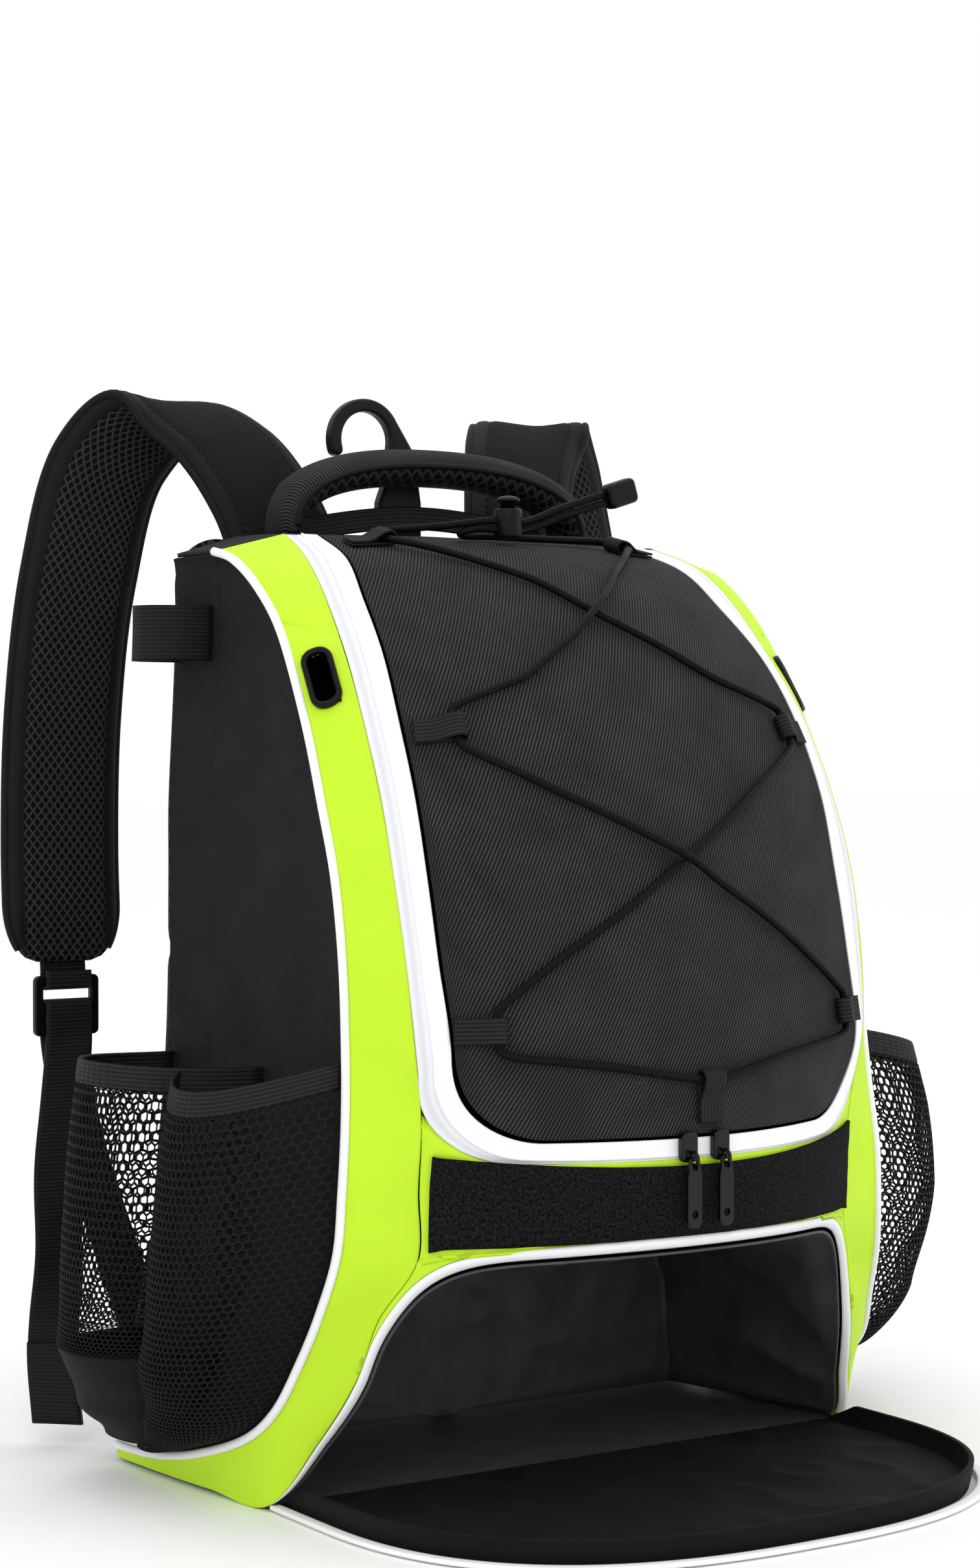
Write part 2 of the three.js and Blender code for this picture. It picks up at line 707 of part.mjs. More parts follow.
function makeBackPanel() {
  const top = bodyHeight - backTopInset;
  const topRow = pipeRail(0).z;
  const surface = (u, v) => {
    const z = backBottom + (top - backBottom) * v;
    const over = Math.max(z - (top - backCorner), 0);
    const inset = backCorner - Math.sqrt(backCorner ** 2 - over ** 2);
    const half = sideXAt(Math.min(z, topRow)) - inset - 1;
    return vec((2 * u - 1) * half, backY + seamGap, z);
  };
  const flatness = 40;
  const toEdge = (u, v) => Math.max((2 * u - 1) ** flatness, (2 * v - 1) ** flatness);
  const thickness = (u, v) => backPadding - seamGap - padEdgeDrop * toEdge(u, v);
  const behind = vec(0, bodyHeight * 4, bodyHeight / 2);
  const pad = wall(surface, 6, 8, thickness, { heart: behind, spreadU: closeToEnds, spreadV: closeToEnds });
  add('back_panel', pad, colours.side);
}

function topEdge(x) {
  return body(0.02, x);
}

function makeTopPanel() {
  const half = pipeRail(0).x - pipingRoom;
  const surface = (u, v) => {
    const x = (2 * u - 1) * half;
    const front = topEdge(x);
    const rear = backY - 0.6;
    const y = front.y + (rear - front.y) * v;
    return vec(x, y, front.z + 3 * Math.sin((Math.PI * v) / 2) * Math.cos((Math.PI * x) / 2 / half));
  };
  add('top_panel', wall(surface, 8, 2, clothWall, { heart: vec(0, 60, 0) }), colours.front);
}

function baseHalf(y) {
  const row = (edge) => bandRail(edge);
  let high = archRow;
  let low = footRow;
  for (let k = 0; k < 24; k += 1) {
    const mid = (high + low) / 2;
    if (row(mid).y < y) high = mid;
    else low = mid;
  }
  return row((high + low) / 2).x;
}

function makeBottomPanel() {
  const front = bandRail(archRow).y;
  const surface = (u, v) => {
    const y = front + (backY - 1 - front) * v;
    return vec((2 * u - 1) * (baseHalf(y) - 3.4), y, 0);
  };
  add('bottom_panel', wall(surface, 2, 4, clothWall), colours.lining);
}

// The lime cloth's edge round the shoe arch, from the left foot over the top to the right
// foot, a from 0 to 1.
function archEdge(a) {
  const side = a < 0.5 ? -1 : 1;
  const q = 1 - Math.abs(2 * a - 1);
  const legShare = 0.45;
  if (q <= legShare) {
    const r = archRow - 0.05 - (archRow - 0.05 - lastRow) * (q / legShare);
    const point = bandRail(r);
    point.x *= side;
    return point;
  }
  const x = side * bandHalf * (1 - (q - legShare) / (1 - legShare));
  return body(frontRow(archHeight(x)), x);
}

// The same edge moved into the arch.
function insideArch(a, distance) {
  const point = archEdge(a);
  const inward = vec(-0.45 * point.x, 8, 35 - point.z).normalize();
  return point.addScaledVector(inward, distance);
}

function makeArchZipper() {
  const surface = (u, v) => insideArch(u, archSeam + archTape * v);
  add('arch_zipper', wall(surface, 32, 1, clothWall), colours.white);
}

// The lining starts just inside the tape and narrows a little to the back, which it closes.
function tunnelPoint(a, s) {
  const start = insideArch(a, archSeam + archTape + 2 * seamGap + liningWall);
  start.z = Math.max(start.z, clothWall + 1.2);
  const angle = Math.PI * (1 - a);
  const bow = Math.abs(Math.sin(angle)) ** 0.55;
  const spread = Math.sign(Math.cos(angle)) * Math.abs(Math.cos(angle)) ** 0.55;
  const floor = clothWall + 1.2;
  const end = vec(tunnelHalfWidth * spread, tunnelBackY, floor + tunnelHeight * bow);
  const wallShare = 0.75;
  if (s <= wallShare) {
    const share = s / wallShare;
    const point = start.lerp(end, share);
    point.z -= tunnelSag * Math.sin(Math.PI * share) * bow;
    return point;
  }
  const closing = 1 - ((s - wallShare) / (1 - wallShare)) * 0.98;
  return vec(end.x * closing, tunnelBackY, floor + (end.z - floor) * closing);
}

function makeTunnel() {
  const heart = vec(0, 10, 30);
  add('shoe_tunnel', wall(tunnelPoint, 18, 8, liningWall, { heart }), colours.lining);
}

// The flap's outline on the floor: straight sides, then a wide round end.
const flapStart = bandRail(archRow).y - 0.6;

function flapOutline(p, grow) {
  const half = flapHalfWidth + grow;
  const round = flapReach - flapStraight + grow;
  const q = Math.abs(2 * p - 1);
  const side = p < 0.5 ? -1 : 1;
  if (q > 0.7) {
    const share = (1 - q) / 0.3;
    return vec(side * half, flapStart - flapStraight * share, 0);
  }
  const angle = (q / 0.7) * (Math.PI / 2);
  const power = 0.8;
  const x = half * Math.sin(angle) ** power;
  return vec(side * x, flapStart - flapStraight - round * Math.cos(angle) ** power, 0);
}

function makeFlap() {
  const middle = vec(0, flapStart, 0);
  const floorShare = 0.7;
  const surface = (u, v) => {
    const rim = flapOutline(u, 0);
    if (v <= floorShare) {
      const reach = 0.02 + 0.98 * (v / floorShare);
      const point = middle.clone().lerp(rim, reach);
      point.y = Math.min(point.y, flapStart);
      return point;
    }
    const ends = Math.min((1 - Math.abs(2 * u - 1)) / 0.14, 1);
    const part = (v - floorShare) / (1 - floorShare);
    return flapOutline(u, 2.2 * Math.sin(1.4 * part)).setZ(flapRim * part * (0.2 + 0.8 * ends));
  };
  const spread = (v) => (v < 0.5 ? v * 2 * floorShare : floorShare + (v - 0.5) * 2 * (1 - floorShare));
  const geometry = wall(surface, 22, 4, flapThickness, { heart: vec(0, -90, 400), spreadV: spread });
  add('shoe_flap', geometry, colours.lining);
}

function makeFlapZipper() {
  const surface = (u, v) => flapOutline(u, 3.4 + flapTape * v).setZ(2.4);
  add('flap_zipper', wall(surface, 22, 1, 2, { heart: vec(0, -90, -400) }), colours.white);
}

// The handle's middle line over its span, u from 0 to 1.
function handleLine(u, lift) {
  const angle = Math.PI * u;
  const x = -handleHalfSpan * Math.sign(Math.cos(angle)) * Math.abs(Math.cos(angle)) ** 0.85;
  const base = bodyHeight + 1.8;
  return vec(x, backY - 4, base + handleRise * Math.sin(angle) ** 0.8 + lift);
}

function handlePad(lift, part) {
  const surface = (u, v) => {
    const point = handleLine(u, lift);
    point.y += (v - 0.5) * handleWidth;
    return point;
  };
  const thickness = (u, v) => {
    const along = Math.min(Math.sin(Math.PI * u) * 2.2, 1);
    const over = Math.sqrt(Math.max(1 - (2 * v - 1) ** 2, 0));
    return part * (0.12 + 0.88 * over * (0.35 + 0.65 * along));
  };
  return wall(surface, 12, 4, thickness, {
    heart: part > 0 && lift > 0 ? vec(0, backY, 2000) : vec(0, backY, 0),
  });
}

function makeHandle() {
  const half = handleThickness / 2;
  add('top_handle', handlePad(0.2, half), colours.front);
  add('handle_underside', handlePad(-0.2, half), colours.net);
}

function makeHandleBand() {
  const span = handleHalfSpan - handleThickness / 2 - 4;
  const seat = bodyHeight - backTopInset + seamGap;
  const surface = (u, v) => vec(
    (2 * u - 1) * span,
    backY + backPadding / 2,
    seat + handleBandRise * Math.sin(Math.PI * u) + handleBandHeight * v,
  );
  add('handle_band', wall(surface, 12, 1, clothWall, { middle: true }), colours.webbing);
}

// The hook is a flat question mark. Its plate lies on the back under a webbing tab.
function makeHook() {
  const inner = hookRadius - hookRod;
  const outer = hookRadius + hookRod;
  const start = -0.2;
  const end = Math.PI * 1.14;
  const neckTop = bodyHeight + hookNeckRise;
  const footZ = bodyHeight - hookFootDrop;
  const centre = vec(hookX - hookOffset, 0, bodyHeight + hookCentreRise);
  const at = (radius, angle) => [centre.x + radius * Math.cos(angle), centre.z + radius * Math.sin(angle)];
  const shape = new THREE.Shape();
  shape.moveTo(hookX + hookPlateHalf, footZ);
  shape.lineTo(hookX + hookPlateHalf, neckTop);
  shape.lineTo(hookX + 9, centre.z - 6);
  shape.lineTo(...at(outer, 0.5));
  shape.absarc(centre.x, centre.z, outer, 0.5, end, false);
  const tip = at(hookRadius, end);
  shape.absarc(tip[0], tip[1], hookRod, end, end + Math.PI, false);
  shape.absarc(centre.x, centre.z, inner, end, start, true);
  shape.lineTo(hookX - 7, centre.z - 16);
  shape.lineTo(hookX - hookPlateHalf, neckTop);
  shape.lineTo(hookX - hookPlateHalf, footZ);
  shape.closePath();
  const flat = new THREE.ExtrudeGeometry(shape, {
    depth: hookThickness, bevelEnabled: false, curveSegments: 7,
  });
  const hook = add('fence_hook', flat, colours.plastic);
  hook.rotation.x = Math.PI / 2;
  hook.position.y = padRear + seamGap + 0.1 + hookThickness;
  const surface = (u, v) => {
    const x = hookX + (2 * u - 1) * tabHalf;
    const over = Math.min(Math.max((tabHalf - Math.abs(x - hookX)) / 12, 0), 1);
    const rise = (hookThickness + 0.5) * (0.5 - 0.5 * Math.cos(Math.PI * over));
    return vec(x, padRear + seamGap + webbingThickness + rise, footZ + 2 + tabHeight * v);
  };
  add('hook_tab', wall(surface, 12, 1, webbingThickness, { heart: vec(0, 0, 440) }), colours.webbing);
}

function along(points, side) {
  const curve = new THREE.CatmullRomCurve3(points.map((p) => vec(side * p.x, p.y, p.z)), false, 'centripetal');
  return curve;
}

// A ribbon's width lies across its path, mostly along X.
function acrossPath(curve, u) {
  const tangent = curve.getTangentAt(u);
  const xAxis = vec(1, 0, 0);
  return xAxis.addScaledVector(tangent, -0.7 * tangent.x).normalize();
}

function padSurface(curve) {
  return (u, v) => {
    const tip = Math.min((1 - u) / 0.07, 1);
    const wide = webbingWidth + 4 + (strapWidth - webbingWidth - 4) * Math.sqrt(1 - (1 - tip) ** 2);
    return curve.getPointAt(u).addScaledVector(acrossPath(curve, u), (v - 0.5) * wide);
  };
}

function padThickness(part) {
  return (u, v) => {
    const over = (1 - Math.abs(2 * v - 1) ** 3) ** 0.5;
    const ends = Math.min(Math.sin(Math.PI * Math.min(Math.max(u, 0.002), 0.998)) * 5, 1);
    return part * (0.2 + 0.8 * over * ends);
  };
}

function turnedWall(surface, columns, rows, thickness, turn, lift) {
  const lifted = (u, v) => {
    const e = 1e-3;
    const alongU = surface(Math.min(u + e, 1), v).sub(surface(Math.max(u - e, 0), v));
    const alongV = surface(u, Math.min(v + e, 1)).sub(surface(u, Math.max(v - e, 0)));
    const normal = alongU.cross(alongV).normalize().multiplyScalar(turn);
    const thick = typeof thickness === 'function' ? thickness(u, v) : thickness;
    return surface(u, v).addScaledVector(normal, lift + thick / 2);
  };
  return wall(lifted, columns, rows, thickness, { middle: true });
}

// Points of webbing folded over a bar of the ladder lock, from behind to the front. With
// turn 1 it goes over the top of the bar, and with turn -1 under it.
function roundBar(x, barZ, turn) {
  const room = lockThickness / 2 + foldRoom + webbingThickness / 2;
  const over = lockBar / 2 + foldRoom + webbingThickness / 2;
  return [
    { x, y: lockY + room, z: barZ - turn * 5 },
    { x, y: lockY + room, z: barZ + turn * over * 0.5 },
    { x, y: lockY + room * 0.6, z: barZ + turn * over * 0.95 },
    { x, y: lockY, z: barZ + turn * over },
    { x, y: lockY - room * 0.6, z: barZ + turn * over * 0.95 },
    { x, y: lockY - room, z: barZ + turn * over * 0.5 },
    { x, y: lockY - room, z: barZ - turn * 5 },
  ];
}

function makeStrap(name, side) {
  const curve = along(strapPoints, side);
  const half = strapThickness / 2;
  const surface = padSurface(curve);
  const pad = turnedWall(surface, 18, 4, padThickness(half), -1, 0.2);
  const inner = turnedWall(surface, 18, 4, padThickness(half), 1, 0.2);
  const tip = strapPoints[strapPoints.length - 1];
  const lockTop = lockZ + lockHeight / 2;
  const tonguePath = [
    { x: tip.x, y: tip.y + 2.2, z: tip.z + 5 },
    ...roundBar(tip.x, lockTop - lockBar / 2, -1),
  ];
  const tongueCurve = along(tonguePath, side);
  const tongue = wall(
    (u, v) => tongueCurve.getPointAt(u).add(vec((v - 0.5) * webbingWidth, 0, 0)),
    14, 1, webbingThickness, { middle: true },
  );
  const joined = solidOf(pad).add(solidOf(tongue)).subtract(solidOf(inner.clone()));
  add(`shoulder_strap_${name}`, geometryOf(joined), colours.pad);
  add(`strap_mesh_${name}`, inner, colours.net);
}

function makeLadderLock(name, side) {
  const frame = new THREE.Shape();
  const halfWide = lockWidth / 2;
  const halfTall = lockHeight / 2;
  frame.moveTo(-halfWide, -halfTall);
  frame.lineTo(halfWide, -halfTall);
  frame.lineTo(halfWide, halfTall);
  frame.lineTo(-halfWide, halfTall);
  frame.closePath();
  const slotHalf = webbingWidth / 2 + 0.8;
  const middleTop = lockMiddle + lockBar / 2;
  const middleBottom = lockMiddle - lockBar / 2;
  for (const [low, high] of [[-halfTall + lockBar, middleBottom], [middleTop, halfTall - lockBar]]) {
    const slot = new THREE.Path();
    slot.moveTo(-slotHalf, low);
    slot.lineTo(-slotHalf, high);
    slot.lineTo(slotHalf, high);
    slot.lineTo(slotHalf, low);
    slot.closePath();
    frame.holes.push(slot);
  }
  const body3d = new THREE.ExtrudeGeometry(frame, { depth: lockThickness, bevelEnabled: false });
  const lock = add(`ladder_lock_${name}`, body3d, colours.plastic);
  lock.rotation.x = Math.PI / 2;
  lock.position.set(side * strapTip.across * strapTipX, lockY + lockThickness / 2, lockZ);
}

function makeWebbing(name, side) {
  const x = strapTip.across * strapTipX;
  const lowZ = lockZ - lockHeight / 2 - 2;
  const room = lockThickness / 2 + foldRoom + webbingThickness / 2;
  const points = [
    ...webbingUp.map(webbingPoint),
    { x, y: lockY + room, z: lowZ },
    ...roundBar(x, lockZ + lockMiddle, 1),
    { x, y: lockY - room, z: lowZ },
    ...webbingDown.map(webbingPoint),
  ];
  const curve = along(points, side);
  const surface = (u, v) => {
    const point = curve.getPoint(u);
    const loose = Math.max(0, u - 0.75) * 4;
    const turned = vec(1, 0, 0).applyAxisAngle(vec(0, 0, 1), side * tailTurn * loose);
    return point.addScaledVector(turned, (v - 0.5) * webbingWidth);
  };
  add(`strap_webbing_${name}`, wall(surface, points.length * 2, 1, webbingThickness, { middle: true }), colours.webbing);
}

// Reach of a side pocket at the height z, from the table of pocket rows.
function pocketBulge(z, kind) {
  const share = z / pocketTop;
  let k = 0;
  while (k < pocketRows.length - 2 && share < pocketRows[k + 1].height) k += 1;
  const high = pocketRows[k];
  const low = pocketRows[k + 1];
  const part = Math.min(Math.max((high.height - share) / (high.height - low.height), 0), 1);
  const smooth = part * part * (3 - 2 * part) * 0.5 + part * 0.5;
  return pocketReach * (high[kind] + (low[kind] - high[kind]) * smooth);
}

function batCurve(z, u, side, grow = 0) {
  const front = pipeYAt(z) + pocketSplit * (pocketRearY - pipeYAt(z));
  const middle = (pocketRearY + front) / 2;
  const half = (pocketRearY - front) / 2;
  const angle = Math.PI * u;
  const bulge = (pocketBulge(z, 'bat') + grow) * Math.max(Math.sin(angle), 0) ** 0.62;
  return vec(side * (sideXAt(z) + 0.6 + bulge), middle + (half + grow) * Math.cos(angle), z);
}

function ballCurve(z, u, side) {
  const start = batCurve(z, 0.64, side, hemThickness + seamGap * 3);
  const low = pipeYAt(z);
  const reach = pocketBulge(z, 'ball');
  const out = (share) => side * (sideXAt(z) + 0.6 + reach * share);
  const first = vec(side * Math.max(Math.abs(start.x) + 4, Math.abs(out(1.12))), start.y - 0.28 * (start.y - low), z);
  const second = vec(out(1.1), low + 6, z);
  const end = vec(out(0), low + pipeInset(z), z);
  return new THREE.CubicBezierCurve3(start, first, second, end).getPoint(u);
}

function pocketHemTop(kind, u) {
  if (kind === 'bat') return pocketTop - 4 + 3 * Math.sin(Math.PI * u);
  return pocketTop - 3 + 7 * u - 9 * Math.sin(Math.PI * u);
}

function pocketWall(kind, side, zTop, zBottom, columns, rows, thickness) {
  const closer = (s) => 1 - (1 - s) ** 1.5;
  const curve = kind === 'bat' ? batCurve : ballCurve;
  const surface = (u, v) => {
    const top = zTop(u);
    return curve(top + (zBottom - top) * v, u, side);
  };
  const heart = vec(side * 130, kind === 'bat' ? 52 : -10, 100);
  return wall(surface, columns, rows, thickness, { heart, spreadV: closer });
}

function makePockets(name, side) {
  const below = (kind) => (u) => pocketHemTop(kind, u) - hemHeight - seamGap;
  const batNet = pocketWall('bat', side, below('bat'), baseTop, 9, 4, netWall);
  add(`bat_pocket_${name}`, batNet, colours.net);
  const ballNet = pocketWall('ball', side, below('ball'), ballPocketBottom, 9, 9, netWall);
  add(`ball_pocket_${name}`, ballNet, colours.net);
  const base = pocketWall('bat', side, () => baseTop - seamGap, baseBottom, 9, 5, clothWall);
  add(`pocket_base_${name}`, base, colours.side);
  for (const kind of ['bat', 'ball']) {
    const curve = kind === 'bat' ? batCurve : ballCurve;
    const surface = (u, v) => {
      const z = pocketHemTop(kind, u) - hemHeight * v;
      return curve(z, u, side);
    };
    const heart = vec(side * 130, kind === 'bat' ? 52 : -10, pocketTop);
    add(`${kind}_hem_${name}`, wall(surface, 9, 1, hemThickness, { heart }), colours.webbing);
  }
}

function makeBatStrap(name, side) {
  const middle = (batStrapRearY + batStrapFrontY) / 2;
  const half = (batStrapRearY - batStrapFrontY) / 2;
  const surface = (u, v) => {
    const z = (bodyHeight - batStrapDrop) + (0.5 - v) * batStrapHeight;
    const angle = Math.PI * u;
    const out = batStrapReach * Math.max(Math.sin(angle), 0) ** 0.7;
    return vec(side * (sideXAt(z) + 0.5 + out), middle + half * Math.cos(angle), z);
  };
  const heart = vec(side * 120, middle, (bodyHeight - batStrapDrop));
  add(`bat_strap_${name}`, wall(surface, 9, 1, webbingThickness, { heart }), colours.webbing);
}

// A webbing loop sewn on the front: a strip folded round the cord. The base lies toward
// (baseRow, baseX) from the fold, which the cord passes at (row, x).
function makeCordLoop(name, { x, baseX, row = lowLoopRow, baseRow = lowLoopBaseRow }) {
  const tip = body(row, x);
  const normal = bodyNormal(row, x);
  const base = body(baseRow, baseX);
  const outDirection = tip.clone().sub(base);
  outDirection.addScaledVector(normal, -outDirection.dot(normal)).normalize();
  const width = outDirection.clone().cross(normal).normalize();
  const cordLift = cordOverCloth + cordRadius;
  const radius = cordRadius + loopRoom + loopWebbing / 2;
  const foldPoints = [
    [-loopLength, 0.95], [-2, 0.95], [1.8, cordLift - radius * 0.78], [radius, cordLift],
    [1.8, cordLift + radius * 0.85], [-2.4, cordLift + radius * 0.8], [-loopLength * 0.5, 2.9], [-loopLength, 2.5],
  ];
  const curve = new THREE.CatmullRomCurve3(foldPoints.map(([d, n]) => vec(d, n, 0)), false, 'centripetal');
  const surface = (u, v) => {
    const p = curve.getPointAt(u);
    const lean = Math.min(Math.max(-p.x / loopLength, 0), 1);
    const sink = base.clone().sub(tip).dot(normal) * lean;
    return tip.clone()
      .addScaledVector(outDirection, p.x)
      .addScaledVector(normal, p.y + sink)
      .addScaledVector(width, (v - 0.5) * loopWidth);
  };
  add(name, wall(surface, 12, 1, loopWebbing, { middle: true }), colours.webbing);
}

// A curve whose steps fall on its own points, so that the corners at the loops stay sharp.
class PointedCurve extends THREE.CatmullRomCurve3 {
  getPointAt(t, target) {
    return this.getPoint(t, target);
  }

  getTangentAt(t, target) {
    return this.getTangent(t, target);
  }
}

function makeCord() {
  const points = [];
  const rowOf = (step) => ('low' in step ? lowLoopRow + step.low : step.row);
  cordRoute.forEach((step, k) => {
    if ('back' in step) {
      points.push(vec(step.x, step.back, step.rise).add(barrel));
      return;
    }
    const before = cordRoute[k - 1];
    const here = overBody(rowOf(step), step.x, step.lift + cordRadius);
    const last = points[points.length - 1];
    if (!('back' in before) && here.distanceTo(last) > cordSpan) {
      const row = (rowOf(step) + rowOf(before)) / 2;
      points.push(overBody(row, (step.x + before.x) / 2, (step.lift + before.lift) / 2 + cordRadius));
    }
    points.push(here);
  });
  const curve = new PointedCurve(points, false, 'centripetal');
  add('bungee_cord', polygonAlong(curve, cordRadius, 8, points.length - 1), colours.webbing);
}

function cylinder(radius, height, sides) {
  return new THREE.CylinderGeometry(radius, radius, height, sides).rotateX(Math.PI / 2);
}

function makeCordLock() {
  const slot = new THREE.BoxGeometry(40, cordRoom, slotTop - slotBottom)
    .translate(0, 0, (slotTop + slotBottom) / 2);
  const bore = cylinder(plungerRadius + 0.35, barrelHeight, 12).translate(0, 0, barrelHeight / 2 + 1.2);
  const drum = cylinder(barrelRadius, barrelHeight, 14).translate(0, 0, barrelHeight / 2);
  const barrelSolid = solidOf(drum).subtract(solidOf(bore)).subtract(solidOf(slot));
  const lock = add('cord_lock', geometryOf(barrelSolid), colours.plastic);
  lock.position.copy(barrel);
  const buttonZ = barrelHeight + plungerTravel + 0.3;
  const dome = [[0, buttonZ], [5.8, buttonZ], [6.2, buttonZ + 0.8], [4.6, buttonZ + 2.4], [0, buttonZ + 3.2]];
  const button = new THREE.LatheGeometry(dome.map(([r, z]) => new THREE.Vector2(r, z)), 12).rotateX(Math.PI / 2);
  const legsBottom = 4.6;
  const stem = cylinder(plungerRadius, buttonZ + 0.5 - legsBottom, 12)
    .translate(0, 0, (buttonZ + 0.5 + legsBottom) / 2);
  const fork = new THREE.BoxGeometry(40, cordRoom, 20).translate(0, 0, slotTop + plungerTravel - 10);
  const plungerSolid = solidOf(stem).subtract(solidOf(fork)).add(solidOf(button));
  const plunger = add('lock_plunger', geometryOf(plungerSolid), colours.plastic);
  plunger.position.copy(barrel);
}

function makeCordEnd() {
  const shape = new THREE.BoxGeometry(cordEndLength, 8.5, cordEndHeight);
  const end = add('cord_end', shape, colours.plastic);
  const face = cordRoute[0];
  const lean = cordEndLean;
  end.rotation.y = -lean;
  const reach = cordEndLength / 2 + seamGap + 0.3;
  const other = cordRoute[cordRoute.length - 1];
  end.position.set(
    (face.x + other.x) / 2 + reach * Math.cos(lean),
    face.back,
    (face.rise + other.rise) / 2 + reach * Math.sin(lean),
  ).add(barrel);
}

function makeZipPull(name, x) {
  const row = frontRow(pullPivotZ);
  const face = body(row, x);
  const faceLift = sliderThickness + 0.5;
  const pivotY = face.y - faceLift - pivotLift;
  const box = new THREE.BoxGeometry(sliderWidth, sliderThickness, sliderLength)
    .translate(x, face.y - 0.5 - sliderThickness / 2, pullPivotZ + sliderLength / 2 - 2);
  const ring = new THREE.TorusGeometry(3, 0.8, 5, 10).rotateY(Math.PI / 2).translate(x, pivotY, pullPivotZ);
  const slider = solidOf(box).add(solidOf(ring));
  add(`zipper_slider_${name}`, geometryOf(slider), colours.metal);
  const bar = 1.05;
  const outline = new THREE.Shape();
  outline.moveTo(-pullWidth * 0.36, bar);
  outline.lineTo(pullWidth * 0.36, bar);
  outline.lineTo(pullWidth / 2, -9);
  outline.lineTo(pullWidth / 2, -pullLength + 3);
  outline.lineTo(pullWidth * 0.36, -pullLength + bar);
  outline.lineTo(-pullWidth * 0.36, -pullLength + bar);
  outline.lineTo(-pullWidth / 2, -pullLength + 3);
  outline.lineTo(-pullWidth / 2, -9);
  outline.closePath();
  const eye = new THREE.Path();
  eye.moveTo(-1.5, -bar);
  eye.lineTo(-1.5, -5.2);
  eye.lineTo(1.5, -5.2);
  eye.lineTo(1.5, -bar);
  eye.closePath();
  outline.holes.push(eye);
  const plate = new THREE.ExtrudeGeometry(outline, { depth: 2 * bar, bevelEnabled: false }).translate(0, 0, -bar);
  const pull = add(`zipper_pull_${name}`, plate, colours.metal);
  pull.rotation.x = Math.PI / 2;
  pull.position.set(x, pivotY, pullPivotZ);
}

makeFrontPanel();
makeZipperBand();
makeLowerBand();
makeStrip();
makeBackPanel();
makeTopPanel();
makeBottomPanel();
makeArchZipper();
makeTunnel();
makeFlap();
makeFlapZipper();
makeHandle();
makeHandleBand();
makeHook();
for (const [name, side] of [['left', -1], ['right', 1]]) {
  makeGusset(name, side);
  makeSidePanel(name, side);
  makePiping(name, side);
  makeStrap(name, side);
  makeLadderLock(name, side);
  makeWebbing(name, side);
  makePockets(name, side);
  makeBatStrap(name, side);
}
cordLoops.forEach((loop, k) => makeCordLoop(`cord_loop_${k + 1}`, loop));
makeCord();
makeCordLock();
makeCordEnd();
makeZipPull('left', pullX[0]);
makeZipPull('right', pullX[1]);

export default group;
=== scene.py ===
import math

import bmesh
import bpy
import numpy as np
from mathutils import Matrix, Vector, noise


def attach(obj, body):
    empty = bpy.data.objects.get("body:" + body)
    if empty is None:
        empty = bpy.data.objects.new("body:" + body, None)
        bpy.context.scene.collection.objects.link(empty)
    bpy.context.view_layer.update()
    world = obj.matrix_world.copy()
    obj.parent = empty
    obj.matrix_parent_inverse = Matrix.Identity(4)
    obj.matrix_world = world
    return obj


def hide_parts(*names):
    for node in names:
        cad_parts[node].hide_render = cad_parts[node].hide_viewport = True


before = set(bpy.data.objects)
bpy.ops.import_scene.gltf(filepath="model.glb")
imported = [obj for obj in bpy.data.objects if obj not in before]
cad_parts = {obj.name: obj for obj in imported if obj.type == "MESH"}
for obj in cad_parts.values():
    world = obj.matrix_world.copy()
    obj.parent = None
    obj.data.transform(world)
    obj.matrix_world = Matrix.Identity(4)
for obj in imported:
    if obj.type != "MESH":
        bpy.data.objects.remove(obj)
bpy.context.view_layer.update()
mm = 0.001  # a millimetre in Blender's metres
print("frame loaded")

# the photograph's place and lens, level with the upper half of the bag
camera = {"place": (-0.864, -1.262, 0.353), "turn": -33.5, "down": 0.78, "lens": 70.7,
          "sensor": 36, "farEnd": 30}


def makeCamera():
    data = bpy.data.cameras.new("bagCamera")
    data.lens = camera["lens"]
    data.sensor_width = camera["sensor"]
    data.clip_end = camera["farEnd"]
    eye = bpy.data.objects.new("bagCamera", data)
    bpy.context.scene.collection.objects.link(eye)
    eye.location = camera["place"]
    eye.rotation_euler = (math.radians(90 - camera["down"]), 0, math.radians(camera["turn"]))
    bpy.context.scene.camera = eye


makeCamera()

# the bag's shape, in millimetres and as shares of its named sizes
bag = {
    "halfWidth": 152, "depth": 243, "height": 457, "backY": 105, "padding": 12, "pipingRadius": 2.1,
    "pipingRoom": 3.4, "panelBottom": 172, "panelCorner": 40, "zipBottom": 162, "zipCorner": 40,
    "archTop": 125.5, "archDrop": 7.5, "archSeam": 1.7, "archTape": 4, "heart": (0, 0, 230),
}
